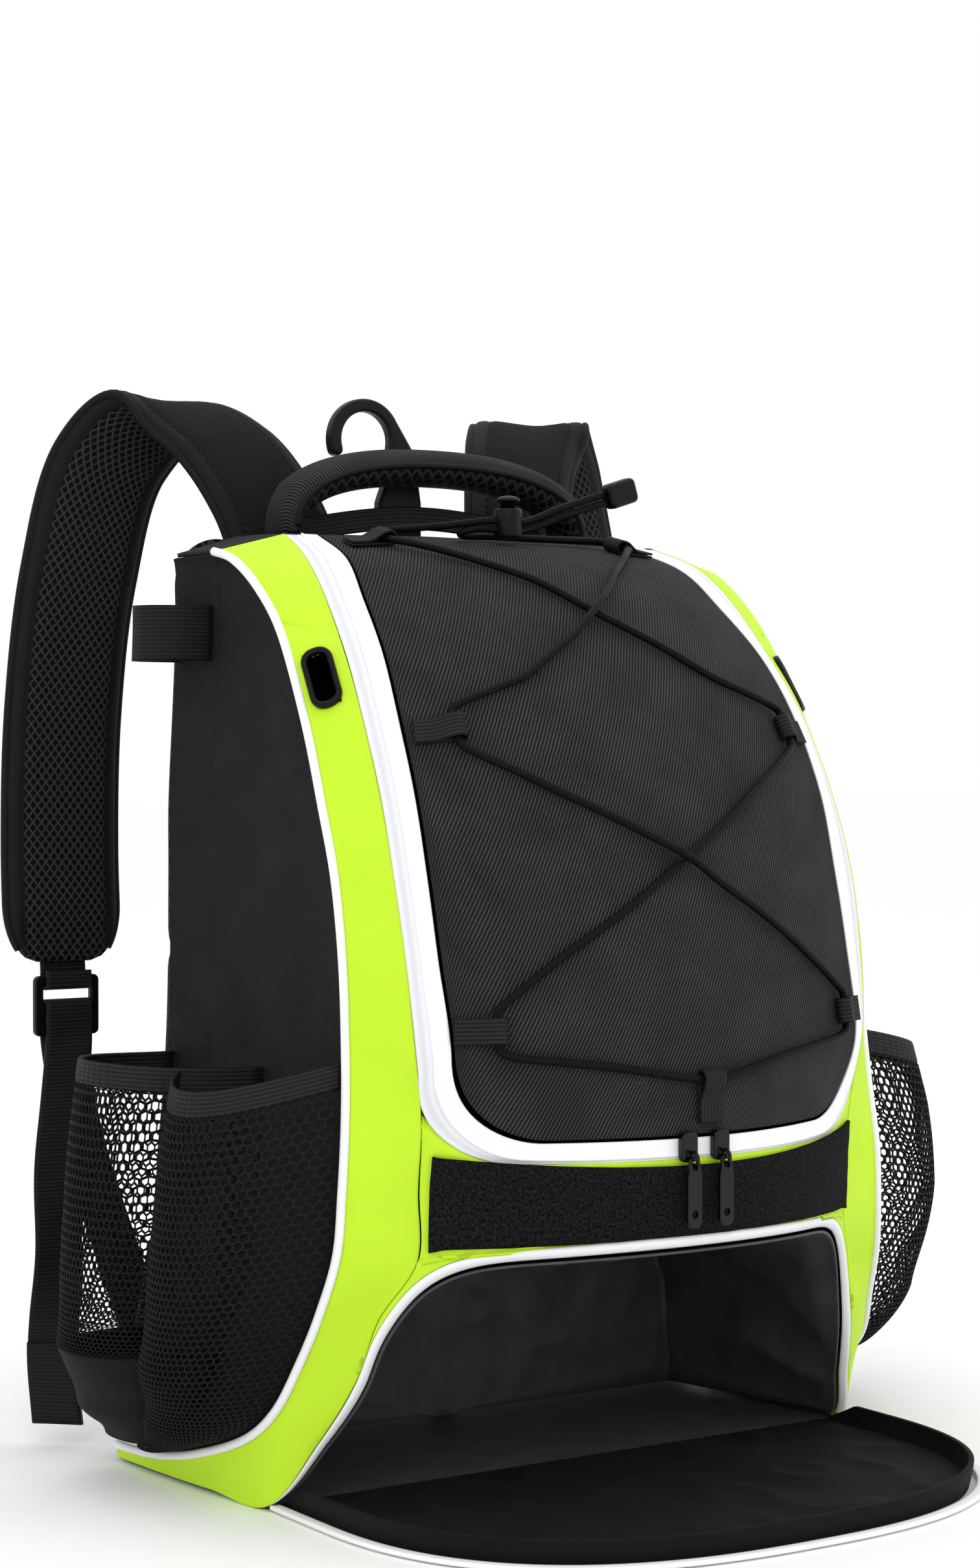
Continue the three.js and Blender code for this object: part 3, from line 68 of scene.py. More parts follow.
# top seam down to the lower band: (across, depth, up) of the piping, zip edge, panel edge and middle
sections = [
    ((0.987, 0.177, 0.976), (0.737, 0.193, 0.998), (0.612, 0.193, 0.998), (0, 0.193, 1.0)),
    ((0.974, 0.251, 0.965), (0.783, 0.317, 0.974), (0.664, 0.366, 0.967), (0, 0.399, 0.98)),
    ((0.967, 0.342, 0.934), (0.809, 0.42, 0.934), (0.704, 0.473, 0.921), (0, 0.547, 0.941)),
    ((0.967, 0.436, 0.884), (0.836, 0.535, 0.867), (0.743, 0.584, 0.864), (0, 0.679, 0.875)),
    ((0.98, 0.543, 0.792), (0.862, 0.626, 0.801), (0.77, 0.667, 0.799), (0, 0.794, 0.801)),
    ((0.993, 0.621, 0.705), (0.875, 0.708, 0.718), (0.783, 0.741, 0.718), (0, 0.872, 0.718)),
    ((0.993, 0.667, 0.635), (0.882, 0.765, 0.635), (0.783, 0.786, 0.635), (0, 0.926, 0.635)),
    ((0.993, 0.695, 0.551), (0.875, 0.798, 0.556), (0.783, 0.823, 0.556), (0, 0.967, 0.556)),
    ((1.0, 0.712, 0.464), (0.862, 0.819, 0.466), (0.776, 0.86, 0.466), (0, 0.992, 0.466)),
    ((1.013, 0.724, 0.394), (0.829, 0.807, 0.394), (0.77, 0.835, 0.394), (0, 1.0, 0.394)),
    ((1.033, 0.733, 0.328), (0.822, 0.79, 0.328), (0.763, 0.823, 0.328), (0, 1.0, 0.328)),
    ((1.046, 0.728, 0.267), (0.822, 0.786, 0.258), (0.763, 0.819, 0.265), (0, 0.992, 0.278)),
]
# on down the shoe arch to the floor, and back along the base
footSections = [
    ((1.076, 0.702, 0.212), (0.908, 0.737, 0.199)),
    ((1.105, 0.66, 0.16), (0.961, 0.708, 0.136)),
    ((1.145, 0.605, 0.105), (1.033, 0.646, 0.072)),
    ((1.171, 0.51, 0.068), (1.125, 0.556, 0.004)),
    ((1.204, 0.342, 0.038), (1.164, 0.374, 0.003)),
    ((1.214, 0.185, 0.023), (1.191, 0.198, 0.003)),
    ((1.217, 0.016, 0.0175), (1.207, 0.016, 0.003)),
]


def place(share):
    across, depth, up = share
    return [across * bag["halfWidth"], bag["backY"] - depth * bag["depth"], up * bag["height"]]


def between(start, end, leave, arrive, t):  # a smooth step with set directions at its two ends
    cubed = 2 * start - 2 * end + leave + arrive
    squared = 3 * end - 3 * start - 2 * leave - arrive
    return cubed * t**3 + squared * t**2 + leave * t + start


def withEnds(points):  # one more point beyond each end
    return np.vstack([2 * points[0] - points[1], points, 2 * points[-1] - points[-2]])


def rail(points):  # a smooth curve by point number, for arrays of numbers
    ends = withEnds(np.array(points, float))
    last = len(points) - 1

    def at(r):
        r = np.clip(np.asarray(r, float), 0, last)
        k = np.minimum(np.floor(r).astype(int), last - 1)
        before, start, end, after = (ends[k + step] for step in range(4))
        return between(start, end, 0.5 * (end - before), 0.5 * (after - start), (r - k)[..., None])

    return at


def rowFinder(curve, start, end):  # the point number at which a rail comes down to a height
    rows = np.linspace(start, end, 1500)
    heights = curve(rows)[:, 2]
    return lambda z: np.interp(-np.asarray(z, float), -heights, rows)


lastRow = len(sections) - 1
archRow = lastRow + 4
footRow = lastRow + len(footSections)
pipeRail, bandRail = (rail([place(row[k]) for row in sections + footSections]) for k in (0, 1))
panelRail, crownRail = (rail([place(row[k]) for row in sections]) for k in (2, 3))
frontRow = rowFinder(crownRail, 3, lastRow)
pipeRow = rowFinder(pipeRail, 0, footRow)


def body(r, x):  # the front at row r and x
    r, x = np.broadcast_arrays(np.asarray(r, float), np.asarray(x, float))
    far = np.abs(x)
    crown, panel, band, pipe = crownRail(r), panelRail(r), bandRail(r), pipeRail(r)
    s = (far / panel[..., 0])[..., None]
    t = ((far - panel[..., 0]) / (band[..., 0] - panel[..., 0]))[..., None]
    w = ((far - band[..., 0]) / (pipe[..., 0] - band[..., 0]))[..., None]
    onPanel = crown + (panel - crown) * s**2
    onSide = np.where(t <= 1, panel + (band - panel) * t, band + (pipe - band) * w)
    point = np.where(s <= 1, onPanel, onSide)
    point[..., 0] = x
    return point


def unit(vectors):
    return vectors / np.maximum(np.linalg.norm(vectors, axis=-1, keepdims=True), 1e-9)


def bodyNormal(r, x):
    down = body(r + 0.02, x) - body(r - 0.02, x)
    side = body(r, x + 1) - body(r, x - 1)
    normal = unit(np.cross(down, side))
    flip = (normal[..., 1:2] > 0) & (normal[..., 2:3] < 0)
    return np.where(flip, -normal, normal)


def overBody(r, x, lift):
    lift = np.asarray(lift, float)[..., None]
    return body(r, x) + bodyNormal(np.asarray(r, float), np.asarray(x, float)) * lift


def xyz(x, y, z):
    return np.stack(np.broadcast_arrays(np.asarray(x, float), y, z), axis=-1).astype(float)


def mixed(a, b, share):
    return a + (b - a) * np.asarray(share, float)[..., None]


def smoothStep(t):
    t = np.clip(t, 0, 1)
    return t * t * (3 - 2 * t)


def bump(t, middle, width):  # a round ridge of height 1
    return np.exp(-(((t - middle) / width) ** 2))


noiseStep = (7.3, 3.1, 5.7)


def ripple(points, scale, seed):  # smooth noise from -1 to 1 at points in millimetres
    shift = Vector([seed * step for step in noiseStep])
    flat = points.reshape(-1, 3) / scale
    values = [noise.noise(Vector(p) + shift) for p in flat]
    return np.array(values).reshape(points.shape[:-1])


def surfaceNormals(points):  # of a grid of points
    across = np.gradient(points, axis=1)
    down = np.gradient(points, axis=0)
    return unit(np.cross(across, down))


# making pieces
def addPiece(name, data, material, slotName, rideOn="bag", stands=(), smooth=True):
    piece = bpy.data.objects.new(name, data)
    bpy.context.scene.collection.objects.link(piece)
    data.materials.append(material)
    data.polygons.foreach_set("use_smooth", [smooth] * len(data.polygons))
    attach(piece, rideOn)
    if stands:
        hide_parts(*stands)
    return piece


def gridMesh(points, heart):
    # a grid of points (rows, columns, 3) in mm as a bmesh, faces away from the heart, UV in mm
    rows, columns = points.shape[0] - 1, points.shape[1] - 1
    mesh = bmesh.new()
    bmesh.ops.create_grid(mesh, x_segments=columns, y_segments=rows, size=0.5)
    mesh.verts.index_update()
    middle = columns // 2
    stepU = np.linalg.norm(np.diff(points, axis=1), axis=2)
    alongU = np.concatenate([np.zeros((rows + 1, 1)), np.cumsum(stepU, axis=1)], axis=1)
    alongU = alongU - alongU[:, middle:middle + 1]
    stepV = np.linalg.norm(np.diff(points[:, middle], axis=0), axis=1)
    alongV = np.concatenate([[0], np.cumsum(stepV)])[:, None] * np.ones((1, columns + 1))
    spots = {}
    for vert in mesh.verts:
        i = round((vert.co.x + 0.5) * columns)
        j = round((vert.co.y + 0.5) * rows)
        vert.co = Vector(points[j, i] * mm)
        spots[vert.index] = (alongU[j, i], alongV[j, i])
    layer = mesh.loops.layers.uv.new("cloth")
    for face in mesh.faces:
        for loop in face.loops:
            loop[layer].uv = spots[loop.vert.index]
    mesh.normal_update()
    toHeart = Vector(heart) * mm
    if sum(f.normal.dot(f.calc_center_median() - toHeart) * f.calc_area() for f in mesh.faces) < 0:
        bmesh.ops.reverse_faces(mesh, faces=mesh.faces)
    return mesh


def meshData(name, mesh):
    data = bpy.data.meshes.new(name)
    mesh.to_mesh(data)
    mesh.free()
    return data


def addWall(piece, thickness, offset=-1.0):
    wall = piece.modifiers.new("clothWall", "SOLIDIFY")
    wall.thickness = thickness * mm
    wall.offset = offset


def uvGrid(columns, rows, spreadU=None, spreadV=None):
    u = np.linspace(0, 1, columns + 1)
    v = np.linspace(0, 1, rows + 1)
    if spreadU:
        u = spreadU(u)
    if spreadV:
        v = spreadV(v)
    return np.meshgrid(u, v)


def toEnds(s):
    return 0.5 - 0.5 * np.cos(np.pi * s)


upright = Matrix.Rotation(math.pi / 2, 4, "X")


def facing(spot):  # a flat plate stood up at a spot in mm, its face to the front
    return Matrix.Translation(Vector(spot) * mm) @ upright


def sheetPiece(name, points, heart, wall, material, offset=-1.0, **more):
    piece = addPiece(name, meshData(name, gridMesh(points, heart)), material, **more)
    addWall(piece, wall, offset)


def padPiece(name, upper, lower, heart, material, fill, **more):
    # a closed pad: two grids with a shared rim count, joined all round
    top = gridMesh(upper, heart)
    under = gridMesh(lower, heart)
    bmesh.ops.reverse_faces(under, faces=under.faces)
    underData = meshData(name + "Under", under)
    top.from_mesh(underData)
    bpy.data.meshes.remove(underData)
    rim = [e for e in top.edges if e.is_boundary]
    bmesh.ops.bridge_loops(top, edges=rim)
    top.normal_update()
    piece = addPiece(name, meshData(name, top), material, **more)
    return piece


def smoothPath(points, steps):
    # centripetal curve through points, as many steps between each two
    ends = withEnds(np.array(points, float))
    out = []
    for before, start, end, after in zip(ends, ends[1:], ends[2:], ends[3:]):
        ways = (start - before, end - start, after - end)
        t0, t1, t2 = (max(np.linalg.norm(way) ** 0.5, 1e-4) for way in ways)
        leave = ((start - before) / t0 - (end - before) / (t0 + t1) + (end - start) / t1) * t1
        arrive = ((end - start) / t1 - (after - start) / (t1 + t2) + (after - end) / t2) * t1
        for t in np.linspace(0, 1, steps, endpoint=False):
            out.append(between(start, end, leave, arrive, t))
    out.append(ends[-2])
    return np.array(out)


def evenPath(points, count):  # the same path with evenly spaced points
    lengths = np.concatenate([[0], np.cumsum(np.linalg.norm(np.diff(points, axis=0), axis=1))])
    spots = np.linspace(0, lengths[-1], count)
    return np.stack([np.interp(spots, lengths, points[:, k]) for k in range(3)], axis=1)


def tubePiece(name, path, radius, material, around=12, **more):
    # a round cord along a path, with UV in mm round it and along it
    tangent = unit(np.gradient(path, axis=0))
    side = np.cross(tangent[0], (0, 0, 1) if abs(tangent[0][2]) < 0.8 else (0, 1, 0))
    sides = []
    for t in tangent:
        side = unit(side - t * side.dot(t))
        sides.append(side)
    sides = np.array(sides)
    ups = np.cross(tangent, sides)
    angles = np.linspace(0, 2 * math.pi, around + 1)
    angles = angles[None, :, None]
    ring = sides[:, None, :] * np.cos(angles) + ups[:, None, :] * np.sin(angles)
    mesh = gridMesh(path[:, None, :] + ring * radius, (0, 0, 0))
    bmesh.ops.remove_doubles(mesh, verts=mesh.verts, dist=1e-7)
    ends = [e for e in mesh.edges if e.is_boundary]
    bmesh.ops.holes_fill(mesh, edges=ends, sides=around)
    bmesh.ops.recalc_face_normals(mesh, faces=mesh.faces)
    addPiece(name, meshData(name, mesh), material, **more)


def platePiece(name, outlines, depth, rounding, matrix, material, **more):
    # a flat moulded shape: closed outlines in mm, with rounded edges, placed by a matrix
    data = bpy.data.curves.new(name, "CURVE")
    data.dimensions = "2D"
    data.fill_mode = "BOTH"
    data.extrude = (depth / 2 - rounding) * mm
    data.bevel_depth = rounding * mm
    data.bevel_resolution = 2
    data.offset = -rounding * mm
    for outline in outlines:
        spline = data.splines.new("POLY")
        spline.points.add(len(outline) - 1)
        spline.use_cyclic_u = True
        for point, p in zip(spline.points, outline):
            point.co = (p[0] * mm, p[1] * mm, 0, 1)
    flat = bpy.data.objects.new(name + "Outline", data)
    bpy.context.scene.collection.objects.link(flat)
    bpy.context.view_layer.update()
    solid = bpy.data.meshes.new_from_object(flat.evaluated_get(bpy.context.evaluated_depsgraph_get()))
    bpy.data.objects.remove(flat)
    solid.transform(matrix)
    solid.materials.clear()
    mesh = bmesh.new()
    mesh.from_mesh(solid)
    bmesh.ops.remove_doubles(mesh, verts=mesh.verts, dist=1e-6)
    bmesh.ops.recalc_face_normals(mesh, faces=mesh.faces)
    mesh.to_mesh(solid)
    mesh.free()
    addPiece(name, solid, material, smooth=False, **more)


def pathLength(path):
    return np.linalg.norm(np.diff(path, axis=0), axis=1).sum()


def stitchRow(name, path, pitch, length):
    # a row of lock stitches: short round threads that touch the cloth
    radius = 0.36
    spots = evenPath(path, max(int(pathLength(path) / pitch) + 1, 2))
    mesh = bmesh.new()
    for a, b in zip(spots, spots[1:]):
        way = Vector(b - a)
        turn = way.to_track_quat("Z", "Y").to_matrix().to_4x4()
        middle = Vector((a + b) / 2) * mm
        bmesh.ops.create_cone(mesh, cap_ends=True, segments=6, radius1=radius * mm, radius2=radius * mm,
                              depth=length * mm, matrix=Matrix.Translation(middle) @ turn)
    addPiece(name, meshData(name, mesh), cloth["thread"], slotName="webbing")


def roundArc(centre, radius, start, end, count):
    angles = np.linspace(math.radians(start), math.radians(end), count)
    return [(centre[0] + radius * math.cos(a), centre[1] + radius * math.sin(a)) for a in angles]


def roundBox(width, height, radius, centre=(0, 0), count=6):
    w, h = width / 2 - radius, height / 2 - radius
    corners = [(w, h, 0), (-w, h, 90), (-w, -h, 180), (w, -h, 270)]
    return [p for x, y, a in corners
            for p in roundArc((centre[0] + x, centre[1] + y), radius, a, a + 90, count)]


# materials
def hexColour(code):  # sRGB hex to linear
    values = [int(code[k:k + 2], 16) / 255 for k in (1, 3, 5)]
    return (*[c / 12.92 if c <= 0.04045 else ((c + 0.055) / 1.055) ** 2.4 for c in values], 1)


def addNode(tree, kind, settings=None, links=None):
    node = tree.nodes.new(kind)
    for key, value in (settings or {}).items():
        if isinstance(key, int) or key in node.inputs:
            node.inputs[key].default_value = value
        else:
            setattr(node, key, value)
    for key, source in (links or {}).items():
        tree.links.new(source, node.inputs[key])
    return node


def startMaterial(name, roughness, gloss, place="UV", **settings):
    # a shader, and where its patterns lie: the piece's own UV in mm, or Object coordinates in metres
    material = bpy.data.materials.new(name)
    material.use_nodes = True
    tree = material.node_tree
    tree.nodes.clear()
    settings.update({"Roughness": roughness, "Specular IOR Level": gloss})
    shader = addNode(tree, "ShaderNodeBsdfPrincipled", settings)
    out = addNode(tree, "ShaderNodeOutputMaterial")
    tree.links.new(shader.outputs[0], out.inputs["Surface"])
    return material, tree, shader, addNode(tree, "ShaderNodeTexCoord").outputs[place]


def stripes(tree, spots, pitch, turn, uneven=0.0):
    # sine stripes with a pitch in mm on UV coordinates that are in mm
    turned = addNode(tree, "ShaderNodeMapping", {"Rotation": (0, 0, math.radians(turn))}, {"Vector": spots})
    return addNode(tree, "ShaderNodeTexWave", {
        "wave_type": "BANDS", "bands_direction": "X", "Scale": 0.31416 / pitch,
        "Distortion": uneven, "Detail": 1.0, "Detail Scale": 2.0,
    }, {"Vector": turned.outputs[0]}).outputs["Fac"]


def combined(tree, operation, a, b):
    node = addNode(tree, "ShaderNodeMath", {"operation": operation})
    for k, value in enumerate((a, b)):
        if isinstance(value, (int, float)):
            node.inputs[k].default_value = value
        else:
            tree.links.new(value, node.inputs[k])
    return node.outputs[0]


def noiseNode(tree, spots, scale, detail, **more):
    settings = {"Scale": scale, "Detail": detail, **more}
    return addNode(tree, "ShaderNodeTexNoise", settings, {"Vector": spots}).outputs["Fac"]


def crossed(tree, ribs, threads, share):  # ribs that dip where the other thread crosses
    return combined(tree, "MULTIPLY", ribs, combined(tree, "MULTIPLY_ADD", threads, share))


def finishCloth(material, shader, height, tone, dark, light, depth, strength):
    # colour from a tone between two shades, and a bump of a real depth in mm
    tree = material.node_tree
    shades = {"data_type": "RGBA", 6: hexColour(dark), 7: hexColour(light)}
    shade = addNode(tree, "ShaderNodeMix", shades, {0: tone})
    tree.links.new(shade.outputs[2], shader.inputs["Base Color"])
    relief = {"Strength": strength, "Distance": depth * mm}
    bumps = addNode(tree, "ShaderNodeBump", relief, {"Height": height})
    tree.links.new(bumps.outputs[0], shader.inputs["Normal"])
    return material


def polyesterTwill(name, dark, light, pitch, turn, depth):
    # dull spun polyester: ribs of yarn that catch a little light, crossed by the weft
    # the real ribs are about 0.5 mm apart, and are drawn coarser so that they show
    material, tree, shader, spots = startMaterial(name, 0.8, 0.16)
    ribs = stripes(tree, spots, pitch, turn, 0.6)
    weave = crossed(tree, ribs, stripes(tree, spots, pitch * 0.8, turn + 68, 1.2), 0.5)
    tone = combined(tree, "MULTIPLY", weave, combined(tree, "ADD", noiseNode(tree, spots, 0.035, 3.0), 0.35))
    return finishCloth(material, shader, weave, tone, dark, light, depth, 0.7)


def coatedWeave(name, roughness, gloss, pitch, scale, detail, dark, light, strength):
    # thin coated cloth: a very fine flat weave under soft shades
    material, tree, shader, spots = startMaterial(name, roughness, gloss)
    weave = combined(tree, "MULTIPLY", stripes(tree, spots, pitch, 0), stripes(tree, spots, pitch, 90))
    soft = noiseNode(tree, spots, scale, detail)
    return finishCloth(material, shader, weave, soft, dark, light, 0.06, strength)


def whiteTape(name, dark, light, pitch):
    # woven binding: fine cords along its length, soft and nearly without shine
    material, tree, shader, spots = startMaterial(name, 0.7, 0.35)
    cords = stripes(tree, spots, pitch, 90, 0.3)
    height = crossed(tree, cords, stripes(tree, spots, pitch * 0.8, 0, 0.5), 0.3)
    return finishCloth(material, shader, height, cords, dark, light, 0.08, 0.35)


def ribbedWebbing(name, dark, light, pitch, turn, depth):
    # narrow woven nylon: raised ribs with a faint shine on their crowns
    material, tree, shader, spots = startMaterial(name, 0.66, 0.2)
    ribs = stripes(tree, spots, pitch, turn, 0.2)
    height = crossed(tree, ribs, stripes(tree, spots, pitch * 0.45, turn + 90, 0.6), 0.4)
    return finishCloth(material, shader, height, height, dark, light, depth, 0.8)


def airMesh(name, cell, dark, light):
    # knitted spacer fabric: staggered oval holes with a soft face between them
    material, tree, shader, spots = startMaterial(name, 0.8, 0.14)
    knit = combined(tree, "MAXIMUM", *(stripes(tree, spots, cell, turn, 0.2) for turn in (38, -38)))
    edges = {"From Min": 0.62, "From Max": 0.92, "interpolation_type": "SMOOTHSTEP"}
    face = addNode(tree, "ShaderNodeMapRange", edges, {"Value": knit}).outputs[0]
    return finishCloth(material, shader, face, face, dark, light, 0.7, 0.9)


def loopTape():
    # the fuzzy half of a touch fastener: a mat of tiny nylon loops
    material, tree, shader, spots = startMaterial("loopTape", 0.95, 0.1)
    fuzz = noiseNode(tree, spots, 0.75, 4.0, Roughness=0.8)
    spread = {"From Min": 0.4, "From Max": 0.72}
    tufts = addNode(tree, "ShaderNodeMapRange", spread, {"Value": fuzz}).outputs[0]
    return finishCloth(material, shader, fuzz, tufts, "#000000", "#333333", 1.4, 1.0)


def braidedElastic():
    # shock cord: a tight diagonal braid over rubber
    material, tree, shader, spots = startMaterial("braidedElastic", 0.55, 0.12)
    braid = combined(tree, "MAXIMUM", stripes(tree, spots, 1.3, 32), stripes(tree, spots, 1.3, -32))
    return finishCloth(material, shader, braid, braid, "#000000", "#070708", 0.2, 0.7)


def grained(name, roughness, gloss, scale, detail, dark, light, depth, strength, **settings):
    # a solid or a yarn with a fine even grain
    material, tree, shader, spots = startMaterial(name, roughness, gloss, "Object", **settings)
    grain = noiseNode(tree, spots, scale, detail)
    return finishCloth(material, shader, grain, grain, dark, light, depth, strength)


cloth = {
    "front": polyesterTwill("frontTwill", "#020203", "#4e4e52", 1.6, -28, 0.7),
    "side": polyesterTwill("sidePolyester", "#020203", "#313134", 1.5, 12, 0.4),
    "pad": polyesterTwill("strapTwill", "#020203", "#252528", 1.5, 60, 0.4),
    # smooth polyester in a safety colour, even and bright
    "lime": coatedWeave("limePolyester", 0.6, 0.3, 0.9, 0.02, 2.0, "#bfe826", "#c9f22c", 0.4),
    # nylon with a low shine along its creases
    "lining": coatedWeave("liningNylon", 0.5, 0.22, 0.8, 0.05, 3.0, "#3a3a3e", "#57575c", 0.5),
    "flap": coatedWeave("flapNylon", 0.85, 0.22, 0.8, 0.05, 3.0, "#050506", "#0e0e10", 0.5),
    "tape": whiteTape("whiteBinding", "#f1f1f4", "#fdfdff", 1.1),
    "piping": whiteTape("whitePiping", "#eeeef2", "#ffffff", 0.9),
    "zipTape": whiteTape("whiteZipTape", "#dcdce2", "#ececf2", 1.1),
    "webbing": ribbedWebbing("nylonWebbing", "#040404", "#222224", 1.9, 90, 0.35),
    "hem": ribbedWebbing("elasticHem", "#0c0c0d", "#2c2c2e", 2.0, 90, 0.3),
    "loops": ribbedWebbing("loopWebbing", "#050506", "#2c2c2e", 1.9, 0, 0.4),
    "binding": ribbedWebbing("edgeBinding", "#030303", "#151517", 1.4, 0, 0.2),
    "mesh": airMesh("strapAirMesh", 3.6, "#000000", "#303033"),
    "handleMesh": airMesh("handleAirMesh", 5.2, "#000000", "#262628"),
    "backMesh": airMesh("backAirMesh", 5.0, "#010101", "#3c3c40"),
    "fuzz": loopTape(),
    "elastic": braidedElastic(),
    # nylon yarn: matte, with a slight grain
    "net": grained("netYarn", 0.75, 0.16, 900, 2.0, "#050506", "#1c1c1d", 0.1, 0.5),
    "thread": grained("blackThread", 0.6, 0.16, 900, 2.0, "#1b1b1c", "#1c1c1d", 0.1, 0.5),
    # moulded black acetal: an even fine texture from the tool, with soft highlights
    "plastic": grained("mouldedAcetal", 0.38, 0.18, 1600, 2.0, "#010101", "#0d0d0e", 0.03, 0.35, IOR=1.48),
    "hookPlastic": grained("hookAcetal", 0.4, 0.18, 1600, 2.0, "#070708", "#0d0d0e", 0.03, 0.35, IOR=1.48),
    # die-cast zinc under black enamel: smooth and glossy
    "metal": grained("enamelledZinc", 0.28, 0.3, 420, 3.0, "#010101", "#08080a", 0.02, 0.3),
    # matte paper of the room's floor
    "paper": grained("paperSweep", 0.9, 0.2, 60, 2.0, "#fcfcfd", "#ffffff", 0.02, 0.1),
}
bothSides = (("Left", -1), ("Right", 1))
print("materials ready")


# front panel, zip, lower band and the cloth round them
front = {"firstRow": 0.06, "zipSeam": 1.2, "stripTop": 159.5, "stripTopRise": 6.5, "stripBottom": 127,
         "stripBottomRise": 2.5, "stripHalf": 121, "stripLift": 2.2, "stripWall": 1.8, "wall": 2.0, "seamGap": 0.3,
         "zipSide": 0.55, "zipCorner": 0.25, "split": 0.52, "splitBelow": 0.84, "rimWall": 1.6, "tapeWall": 1.2,
         "cornerSeamX": 124.5, "cornerSeam": 0.7, "tuck": 1.9}


def roundedEdge(x, halfWidth, bottom, corner):
    over = np.clip(np.abs(x) - (halfWidth - corner), 0, corner)
    return bottom + corner - np.sqrt(corner**2 - over**2)


bandHalf = bandRail(lastRow)[0]
panelHalf = panelRail(frontRow(bag["panelBottom"] + bag["panelCorner"]))[0]
zipHalf = bandRail(frontRow(bag["zipBottom"] + bag["zipCorner"]))[0]


def archHeight(x):
    return bag["archTop"] - bag["archDrop"] * (np.abs(x) / bandHalf) ** 6


def puffed(points, depth, scale, seed, edge=None):
    # soft unevenness of hand-sewn cloth, along its own normals
    lift = ripple(points, scale, seed) * depth
    if edge is not None:
        lift = lift * edge
    return points + surfaceNormals(points) * lift[..., None]


def edgeFade(u, v, width=0.06):
    return smoothStep(np.minimum(np.minimum(u, 1 - u), np.minimum(v, 1 - v)) / width)


def makeFrontPanel():
    u, v = uvGrid(96, 130, toEnds)
    across, firstRow = 2 * u - 1, front["firstRow"]
    edge = roundedEdge(across * panelHalf, panelHalf, bag["panelBottom"], bag["panelCorner"])
    r = firstRow + (frontRow(edge + front["zipSeam"]) - firstRow) * v
    points = body(r, across * (panelRail(r)[..., 0] - front["zipSeam"]))
    sheetPiece("frontPanel", puffed(points, 1.1, 75, 1, edgeFade(u, v)), bag["heart"], front["wall"],
               cloth["front"], stands=["front_panel"], slotName="front_cloth")


def zipPoint(p, outward):
    # row and x along the zip: down one side, round the corners and up the other side
    side = np.where(p < 0.5, -1.0, 1.0)
    q = 1 - np.abs(2 * p - 1)
    sideShare, cornerShare, firstRow = front["zipSide"], front["zipCorner"], front["firstRow"]
    half = zipHalf if outward else panelHalf
    corner = bag["zipCorner"] if outward else bag["panelCorner"]
    bottom = bag["zipBottom"] if outward else bag["panelBottom"]
    turnRow = frontRow(bottom + corner)
    sideRow = firstRow + (turnRow - firstRow) * np.clip(q / sideShare, 0, 1)
    sideX = (bandRail(sideRow) if outward else panelRail(sideRow))[..., 0]
    angle = np.clip((q - sideShare) / cornerShare, 0, 1) * math.pi / 2
    cornerRow = frontRow(bottom + corner - corner * np.sin(angle))
    cornerX = half - corner + corner * np.cos(angle)
    left = (1 - q) / (1 - sideShare - cornerShare)
    onSide, onCorner = q <= sideShare, q <= sideShare + cornerShare
    row = np.where(onSide, sideRow, np.where(onCorner, cornerRow, frontRow(bottom)))
    x = np.where(onSide, sideX, np.where(onCorner, cornerX, (half - corner) * left))
    return row, side * x


def overZip(p, share, lift):
    inner, outer = body(*zipPoint(p, False)), body(*zipPoint(p, True))
    wide = np.linalg.norm(outer - inner, axis=-1)
    share = (front["seamGap"] + share * (wide - 2 * front["seamGap"])) / wide
    row, x = zipPoint(p, True)
    return mixed(inner, outer, share) + bodyNormal(row, x * 0.93) * np.asarray(lift, float)[..., None]


def zipSplit(p):
    q = 1 - np.abs(2 * p - 1)
    return front["split"] + (front["splitBelow"] - front["split"]) * smoothStep((q - 0.6) / 0.28)


def makeZip():  # the white band in two widths: a raised rim at the panel and the tape outside it
    u, v = uvGrid(420, 10)
    ridge = 0.55 * np.exp(-((1 - v) / 0.12) ** 2) - 0.5 * np.exp(-(v / 0.05) ** 2)
    points = overZip(u, v * zipSplit(u), ridge + 0.35)
    sheetPiece("zipRim", points, bag["heart"], front["rimWall"], cloth["tape"],
               stands=["zipper_band"], slotName="white_tape")
    u, v = uvGrid(420, 8)
    share = zipSplit(u) - 0.01 + v * (1.01 - zipSplit(u))
    points = overZip(u, share, -0.35 + 0.35 * bump(v, 0.16, 0.06))
    sheetPiece("zipTape", points, bag["heart"], front["tapeWall"], cloth["zipTape"], slotName="white_tape")


def makeLowerBand():
    u, v = uvGrid(180, 34, toEnds)
    across = 2 * u - 1
    top = roundedEdge(across * zipHalf * 0.96, zipHalf, bag["zipBottom"], bag["zipCorner"]) + 2.2
    bottom = archHeight(across * bandHalf) + 0.2
    r = frontRow(top + (bottom - top) * v)
    x = across * (bandRail(r)[..., 0] - front["seamGap"])
    tucked = -front["tuck"] * smoothStep((0.07 - v) / 0.04)
    cornerSeam = -front["cornerSeam"] * bump(np.abs(x), front["cornerSeamX"], 0.9)
    points = body(r, x) + bodyNormal(r, x) * (cornerSeam + tucked)[..., None]
    sheetPiece("lowerBand", puffed(points, 0.7, 40, 3, edgeFade(u, v, 0.1)), bag["heart"], front["wall"],
               cloth["lime"], stands=["lower_band"], slotName="lime_cloth")


